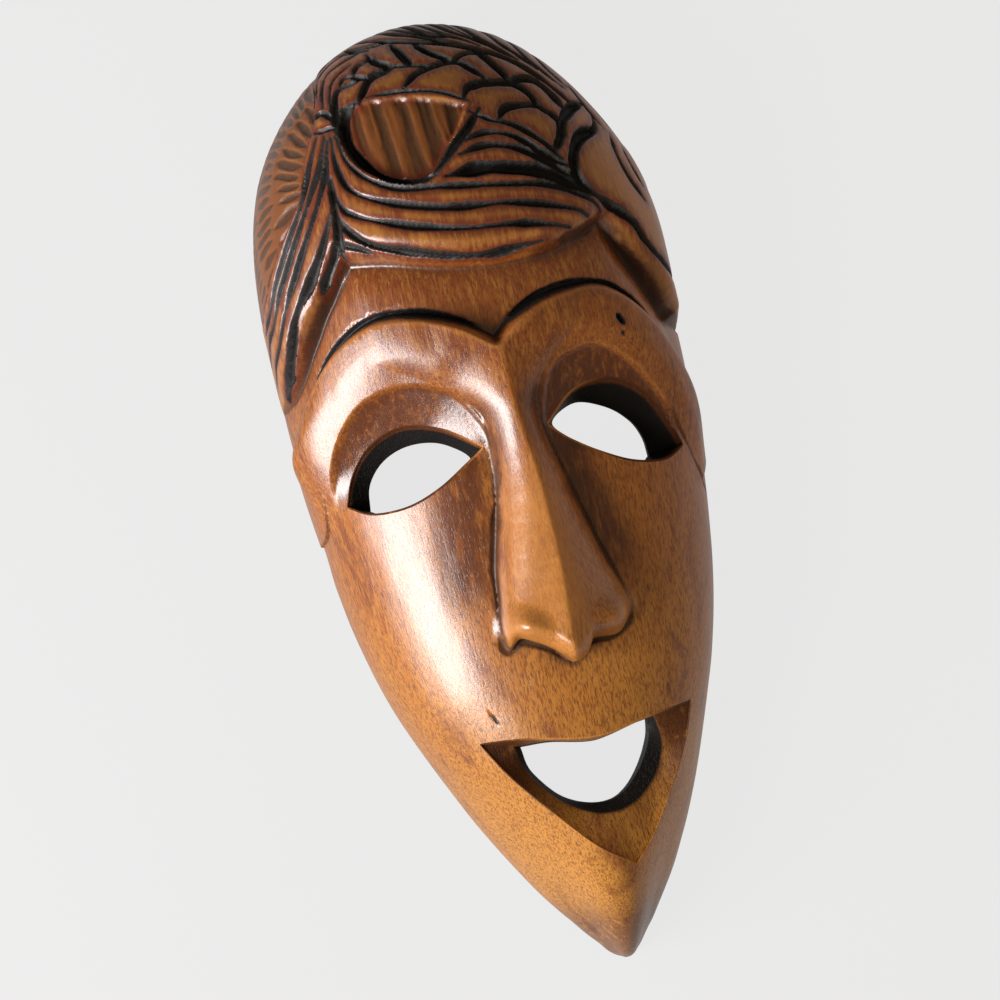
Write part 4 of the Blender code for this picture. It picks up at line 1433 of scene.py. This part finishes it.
class Web:
    """The nodes of one material, made and linked in short calls."""

    def __init__(self, name: str) -> None:
        """Start a material with an empty web.

        Args:
            name: The material's name.
        """
        self.material = bpy.data.materials.new(name)
        self.material.use_nodes = True
        self.tree = self.material.node_tree
        self.shader = self.tree.nodes["Principled BSDF"]

    def put(self, socket: Socket, value: object) -> None:
        """Link a socket to an output, or set its own value.

        Args:
            socket: The input.
            value: An output of another node, or a plain value.
        """
        if isinstance(value, Socket):
            self.tree.links.new(value, socket)
        else:
            socket.default_value = value

    def node(self, kind: str, *inputs: object, **settings: object) -> bpy.types.Node:
        """Add a node.

        Args:
            kind: The node's type.
            inputs: Values or outputs for its first inputs, in order, or None to leave one.
            settings: The node's own settings.

        Returns:
            The node.
        """
        made = self.tree.nodes.new(kind)
        for name, value in settings.items():
            setattr(made, name, value)
        for socket, value in zip(made.inputs, inputs):
            if value is not None:
                self.put(socket, value)
        return made

    def coordinates(self) -> Socket:
        """The place on the object, in metres."""
        return self.node("ShaderNodeTexCoord").outputs["Object"]

    def along(self, place: Socket, axis: str) -> Socket:
        """One of a place's coordinates, in metres."""
        return self.node("ShaderNodeSeparateXYZ", place).outputs[axis]

    def noise(self, place: Socket, scale: Triple, detail: float = 2.0,
              distortion: float = 0.0) -> Socket:
        """Read a cloudy noise.

        Args:
            place: The coordinates.
            scale: Clouds per metre in each direction.
            detail: How many finer layers it has.
            distortion: How much it is stirred.

        Returns:
            Values about 0.5.
        """
        stretched = self.node("ShaderNodeVectorMath", place, scale, operation="MULTIPLY").outputs[0]
        made = self.node("ShaderNodeTexNoise")
        settings = {"Vector": stretched, "Scale": 1.0, "Detail": detail, "Distortion": distortion}
        for name, value in settings.items():
            self.put(made.inputs[name], value)
        return made.outputs["Fac"]

    def tint(self, tint: Tint) -> Socket:
        """A value that the mesh carries."""
        return self.node("ShaderNodeAttribute", attribute_name=tint.value).outputs["Fac"]

    def math(self, operation: str, a: object, b: object = 0.0) -> Socket:
        """Work out a number from one or two values."""
        return self.node("ShaderNodeMath", a, b, operation=operation).outputs[0]

    def times(self, a: object, b: object) -> Socket:
        """Multiply two values."""
        return self.math("MULTIPLY", a, b)

    def plus(self, a: object, b: object) -> Socket:
        """Add two values."""
        return self.math("ADD", a, b)

    def less(self, a: object, b: object) -> Socket:
        """Take the second value from the first."""
        return self.math("SUBTRACT", a, b)

    def span(self, value: object, low: float, high: float, top: float = 1.0) -> Socket:
        """Turn values into a smooth share: 0 at low, and the top share at high."""
        made = self.node("ShaderNodeMapRange", value, low, high, 0.0, top, interpolation_type="SMOOTHSTEP")
        return made.outputs[0]

    def mix(self, share: object, a: object, b: object) -> Socket:
        """Mix two colours.

        Args:
            share: How much of the second one.
            a: The first colour.
            b: The second colour, as #rrggbb or an output.

        Returns:
            The mixed colour.
        """
        made = self.node("ShaderNodeMix", data_type="RGBA", blend_type="MIX")
        a, b = (paint(colour) if isinstance(colour, str) else colour for colour in (a, b))
        for socket, value in zip((made.inputs[0], made.inputs[6], made.inputs[7]), (share, a, b)):
            self.put(socket, value)
        return made.outputs[2]

    def bump(self, heights: dict[Socket, float]) -> Socket:
        """Make the normal of some layers of fine unevenness.

        Args:
            heights: What a height of 1 is in metres, for each layer's output.

        Returns:
            The normal.
        """
        normal = None
        for height, distance in heights.items():
            made = self.node("ShaderNodeBump")
            made.inputs["Distance"].default_value = distance
            self.put(made.inputs["Height"], height)
            if normal is not None:
                self.put(made.inputs["Normal"], normal)
            normal = made.outputs[0]
        return normal


@dataclass(frozen=True)
class WoodPalette:
    """Colours of the wood, from light to dark."""

    gold: str = "#9c6a2b"
    brown: str = "#844c1a"
    red_brown: str = "#552211"
    deep_brown: str = "#401c0d"
    rubbed_and_highlight: str = "#b0763a"
    ground_light: str = "#5c341b"
    ground_dark: str = "#2c1d17"
    pore: str = "#351608"
    near_black: str = "#0b0908"
    raw: str = "#6a4526"


@dataclass(frozen=True)
class CarvedWood:
    """Oiled, varnished hardwood with stained grooves: its gloss, and its noises in clouds per metre."""

    palette: WoodPalette = WoodPalette()
    gloss: float = 0.31
    shine: float = 0.58
    varnish: float = 0.05
    varnish_roughness: float = 0.18
    lip_middle: float = 0.006
    cloud: Triple = (26.0, 14.0, 26.0)
    blotch: Triple = (52.0, 24.0, 52.0)
    fibre: Triple = (700.0, 60.0, 700.0)
    fleck: Triple = (1450.0, 240.0, 1450.0)
    pore: Triple = (2100.0, 330.0, 2100.0)
    streak: Triple = (380.0, 90.0, 380.0)
    speck: Triple = (420.0, 300.0, 420.0)
    patch: Triple = (95.0, 60.0, 95.0)
    hatch: Triple = (800.0, 120.0, 260.0)
    peel: Triple = (950.0, 700.0, 950.0)
    dirt: Triple = (34.0, 20.0, 34.0)
    wall: Triple = (160.0, 160.0, 160.0)

    def grain(self, web: Web, place: Socket) -> tuple[object, object, object]:
        """Make the grain that all finishes share.

        Args:
            web: The material's nodes.
            place: Coordinates in metres.

        Returns:
            The wood's colour, the pores and the fibres.
        """
        colours = self.palette
        along = web.along(place, "Y")
        cloud = web.noise(place, self.cloud, 3.0, 0.6)
        # Darker and redder towards the crown, golden towards the chin: partly the wood's own colour, partly
        # painted shade on the crown.
        lower = web.span(web.plus(along, web.times(cloud, 0.10)), 0.075, -0.12)
        colour = web.mix(lower, colours.brown, colours.gold)
        upper = web.span(web.plus(along, web.times(cloud, 0.08)), 0.045, 0.17, 0.75)
        rubbed_side = web.span(web.along(place, "X"), 0.035, 0.07, 0.6)
        upper = web.times(upper, web.less(1.0, rubbed_side))
        colour = web.mix(upper, colour, colours.red_brown)
        blotch = web.noise(place, self.blotch, 4.0, 1.2)
        colour = web.mix(web.span(blotch, 0.50, 0.72, 0.7), colour, colours.red_brown)
        fibre = web.noise(place, self.fibre, 4.0, 0.4)
        colour = web.mix(web.span(fibre, 0.44, 0.66, 0.40), colour, colours.gold)
        fleck = web.noise(place, self.fleck, 2.0, 0.3)
        colour = web.mix(web.span(fleck, 0.50, 0.61, 0.55), colour, colours.red_brown)
        pores = web.span(web.noise(place, self.pore, 1.0), 0.56, 0.66)
        colour = web.mix(web.times(pores, 0.5), colour, colours.pore)
        return colour, pores, fibre

    def finish_shader(self, web: Web, colour: object, rough: object, normal: object,
                      polish: float) -> bpy.types.Material:
        """Set the shader.

        Args:
            web: The material's nodes.
            colour: The base colour.
            rough: The roughness.
            normal: The fine normal.
            polish: How much of the face's varnish it has.

        Returns:
            The material.
        """
        settings = {
            "Base Color": colour, "Roughness": rough, "Normal": normal,
            "Specular IOR Level": self.shine * polish, "Coat Weight": self.varnish * polish,
            "Coat Roughness": self.varnish_roughness,
        }
        for name, value in settings.items():
            web.put(web.shader.inputs[name], value)
        return web.material

    def face(self, name: str, polish: float = 1.0) -> bpy.types.Material:
        """Make the finish of the carved face, or of the cuts in it.

        Args:
            name: The finish's name.
            polish: How much of the varnish it has.

        Returns:
            The material.
        """
        web = Web(name)
        colours = self.palette
        place = web.coordinates()
        colour, pores, fibre = self.grain(web, place)

        golden = web.times(web.span(web.tint(Tint.GROOVE), -0.6, -2.4, 0.42), web.tint(Tint.FISH))
        colour = web.mix(golden, colour, colours.gold)
        streak = web.noise(place, self.streak, 3.0, 0.5)
        patina = web.tint(Tint.SHADE_AND_TONE)
        colour = web.mix(web.span(patina, 0.0, -1.0, 0.42), colour, colours.rubbed_and_highlight)
        # Painted shade in the sockets, beside the nose and under the fish's border, and a darker chin tip,
        # broken by streaks.
        deep_brown = web.times(web.span(patina, 0.0, 1.0), web.span(streak, 0.16, 0.54))
        colour = web.mix(web.times(deep_brown, 0.88), colour, colours.deep_brown)
        ground, stroke = web.tint(Tint.GROUND), web.tint(Tint.STROKE)
        tooled = web.mix(web.span(stroke, -0.35, 0.45), colours.ground_dark, colours.ground_light)
        colour = web.mix(web.span(ground, 0.2, 0.9, 0.85), colour, tooled)

        wear = web.tint(Tint.WEAR_AND_SHADING)
        # Raised edges painted paler, partly worn wood and partly a painted highlight; sunk places painted
        # darker as painted shade.
        colour = web.mix(web.span(wear, 0.4, 1.8, 0.24), colour, colours.rubbed_and_highlight)
        colour = web.mix(web.span(wear, -0.4, -1.8, 0.5), colour, colours.ground_dark)

        speck = web.noise(place, self.speck, 3.0)
        # Creases painted darker: partly staining in the cut lines, partly painted shade where the wood
        # turns in, as beside and under the nose.
        crease = web.plus(web.tint(Tint.CREASE), web.times(speck, 1.6))
        crease = web.span(crease, -0.4, 1.8, 0.7)
        colour = web.mix(crease, colour, colours.ground_dark)
        groove = web.plus(web.tint(Tint.GROOVE), web.times(speck, 0.9))
        patchy = web.span(web.noise(place, self.patch, 2.0), 0.28, 0.52)
        hatch = web.span(web.noise(place, self.hatch, 1.0), 0.40, 0.58)
        patchy = web.times(patchy, web.plus(web.times(hatch, 0.65), 0.35))
        shade = web.times(web.span(groove, -4.6, -0.2), patchy)
        shade = web.times(shade, web.tint(Tint.FISH))
        colour = web.mix(web.times(shade, 0.95), colour, colours.red_brown)
        colour = web.mix(web.span(groove, -1.1, 0.4, 0.8), colour, colours.red_brown)
        blackened = web.span(groove, 0.05, 0.45)
        colour = web.mix(blackened, colour, colours.near_black)

        rough = web.plus(web.times(fibre, 0.14), self.gloss - 0.07)
        dull = web.math("MAXIMUM", web.times(blackened, 0.30), web.times(crease, 0.20))
        closed = web.times(web.math("MAXIMUM", patina, 0.0), 0.06)
        rough = web.plus(rough, web.less(dull, closed))
        peel = web.noise(place, self.peel, 2.0)
        normal = web.bump({peel: 0.00005, fibre: 0.00004, web.less(1.0, pores): 0.000015})
        return self.finish_shader(web, colour, rough, normal, polish)

    def hollow(self) -> bpy.types.Material:
        """Make the finish of the hollow, which is tooled and left duller than the face.

        Returns:
            The material.
        """
        web = Web("hollow")
        place = web.coordinates()
        colour, pores, fibre = self.grain(web, place)
        colour = web.mix(0.55, colour, self.palette.raw)
        dirt = web.noise(place, self.dirt, 3.0)
        colour = web.mix(web.span(dirt, 0.45, 0.75, 0.6), colour, self.palette.ground_dark)
        rough = web.plus(web.times(fibre, 0.2), 0.5)
        normal = web.bump({fibre: 0.0004, web.less(1.0, pores): 0.0002})
        return self.finish_shader(web, colour, rough, normal, 0.4)

    def opening(self, name: str, start: float, full: float) -> bpy.types.Material:
        """Make the finish of an opening's wall, which darkens towards the back: partly dark staining,
        partly painted shade.

        Args:
            name: The finish's name.
            start: Depth in millimetres where the blackening starts.
            full: Depth where it is full.

        Returns:
            The material.
        """
        web = Web(name)
        place = web.coordinates()
        colour, pores, fibre = self.grain(web, place)
        uneven = web.noise(place, self.wall, 3.0)
        depth = web.plus(web.tint(Tint.RECESS), web.times(uneven, 0.8))
        # Darker and then near black deeper in the wall: partly dark staining, partly painted shade.
        colour = web.mix(web.span(depth, 0.3, start, 0.25), colour, self.palette.ground_dark)
        blackened = web.span(depth, start, full)
        colour = web.mix(blackened, colour, self.palette.near_black)
        # The rounded edge at the face painted paler: partly worn wood, partly a painted highlight.
        colour = web.mix(web.span(web.tint(Tint.RECESS), 1.0, 0.2, 0.4), colour, self.palette.rubbed_and_highlight)
        # Painted shade towards the sides of the wall, as in the mouth's corners, in patches.
        aside = web.math("ABSOLUTE", web.less(web.along(place, "X"), self.lip_middle))
        corner = web.span(aside, 0.017, 0.036, 0.9)
        corner = web.times(corner, web.span(uneven, 0.15, 0.42))
        corner = web.times(corner, web.less(1.0, blackened))
        colour = web.mix(corner, colour, self.palette.pore)
        rough = web.plus(web.times(fibre, 0.2), 0.45)
        normal = web.bump({fibre: 0.0002, web.less(1.0, pores): 0.0001})
        return self.finish_shader(web, colour, rough, normal, 0.3)


@dataclass(frozen=True)
class PhotoCamera:
    """The camera, where the photograph was taken from."""

    name: str = "photo camera"
    yaw: float = 6.0
    roll: float = 13.4
    distance: float = 0.750
    target: Triple = (0.0, 0.0, 0.030)
    lens: float = 65.88
    shift: Pair = (-0.017, -0.005)

    def build(self) -> bpy.types.Object:
        """Make the camera and look through it.

        Returns:
            The camera.
        """
        yaw, roll = math.radians(self.yaw), math.radians(self.roll)
        back = Vector((-math.sin(yaw), 0.0, math.cos(yaw)))
        right0 = Vector((0.0, 1.0, 0.0)).cross(back)
        up0 = back.cross(right0)
        right = right0 * math.cos(roll) - up0 * math.sin(roll)
        up = right0 * math.sin(roll) + up0 * math.cos(roll)
        data = bpy.data.cameras.new(self.name)
        data.lens = self.lens
        data.sensor_width = 36.0
        data.shift_x, data.shift_y = self.shift
        data.clip_start = 0.01
        camera = add(self.name, data)
        turn = Matrix((right, up, back)).transposed().to_4x4()
        camera.matrix_world = Matrix.Translation(Vector(self.target) + back * self.distance) @ turn
        bpy.context.scene.camera = camera
        return camera


@dataclass(frozen=True)
class SoftBox:
    """One soft studio light, aimed at the mask."""

    name: str
    place: Triple
    size: Pair
    power: float
    colour: Triple
    mirrored: bool = True
    aim: Triple = (0.0, 0.0, 0.04)

    def build(self) -> bpy.types.Object:
        """Hang the light.

        Returns:
            The light.
        """
        data = bpy.data.lights.new(self.name, "AREA")
        data.shape = "RECTANGLE"
        data.size, data.size_y = self.size
        data.energy = self.power
        data.color = self.colour
        light = add(self.name, data)
        light.location = self.place
        light.rotation_euler = (Vector(self.aim) - Vector(self.place)).to_track_quat("-Z", "Y").to_euler()
        light.visible_glossy = self.mirrored
        return light


@dataclass(frozen=True)
class Studio:
    """A pale floor that shows a little in gloss, soft lights and a dim warm room."""

    floor_half: float = 3.0
    floor_gap: float = 0.0004
    floor_glow: float = 0.78
    floor_dimmed: float = 0.36
    floor_tone: float = 0.03
    room_light: float = 0.27
    room_colour: Triple = (1.0, 0.80, 0.56)
    lights: tuple[SoftBox, ...] = (
        SoftBox("window", (-0.83, -0.20, 0.50), (0.60, 0.54), 24.0, (1.0, 0.97, 0.97)),
        SoftBox("window sill", (-1.05, -0.16, 0.14), (1.0, 0.24), 3.0, (1.0, 0.90, 0.92)),
        SoftBox("right wall", (1.10, -0.10, 0.30), (1.6, 0.30), 6.2, (1.0, 0.88, 0.70), mirrored=False),
    )

    def build_room(self) -> None:
        """Light the room, which the camera sees as pale as the floor."""
        world = bpy.data.worlds.new("room")
        world.use_nodes = True
        nodes, links = world.node_tree.nodes, world.node_tree.links
        sky = nodes["Background"]
        sky.inputs["Color"].default_value = (*self.room_colour, 1.0)
        sky.inputs["Strength"].default_value = self.room_light
        backdrop = nodes.new("ShaderNodeBackground")
        backdrop.inputs["Strength"].default_value = self.floor_glow
        seen = nodes.new("ShaderNodeLightPath")
        choice = nodes.new("ShaderNodeMixShader")
        links.new(seen.outputs["Is Camera Ray"], choice.inputs[0])
        links.new(sky.outputs[0], choice.inputs[1])
        links.new(backdrop.outputs[0], choice.inputs[2])
        links.new(choice.outputs[0], nodes["World Output"].inputs["Surface"])
        bpy.context.scene.world = world

    def build(self) -> bpy.types.Object:
        """Set up the studio.

        Returns:
            The floor.
        """
        for light in self.lights:
            light.build()
        self.build_room()
        bpy.context.scene.view_settings.view_transform = "Standard"
        half = self.floor_half
        mesh = bpy.data.meshes.new("floor")
        corners = ((-half, -half), (half, -half), (half, half), (-half, half))
        mesh.from_pydata([(x, y, -self.floor_gap) for x, y in corners], [], [(0, 1, 2, 3)])
        floor = add("floor", mesh)
        web = Web("pale floor")
        mirrored = web.times(web.node("ShaderNodeLightPath").outputs["Is Glossy Ray"], self.floor_dimmed)
        settings = {
            "Base Color": (self.floor_tone,) * 3 + (1.0,), "Emission Color": (1.0, 1.0, 1.0, 1.0),
            "Roughness": 0.9, "Specular IOR Level": 0.0,
            "Emission Strength": web.less(self.floor_glow, mirrored),
        }
        for name, value in settings.items():
            web.put(web.shader.inputs[name], value)
        mesh.materials.append(web.material)
        floor.visible_diffuse = False
        return floor


def main() -> None:
    """Build the camera, the wood's finishes, the mask and the studio, in that order."""
    logging.basicConfig(level=logging.INFO, format="%(name)s: %(message)s")
    camera = PhotoCamera().build()
    LOG.info("%s set up", camera.name)
    wood = CarvedWood()
    finishes = [
        wood.face("carved face"), wood.hollow(), wood.opening("eye wall", 1.0, 3.8),
        wood.opening("lip", 7.8, 9.4), wood.face("stained cuts", 0.42),
    ]
    mask = CarvedMask().build(finishes)
    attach(mask, "root")
    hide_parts("carved_mask")
    LOG.info("%s: %d triangles", mask.name, sum(len(face.vertices) - 2 for face in mask.data.polygons))
    floor = Studio().build()
    LOG.info("%s laid", floor.name)


if __name__ == "__main__":
    main()
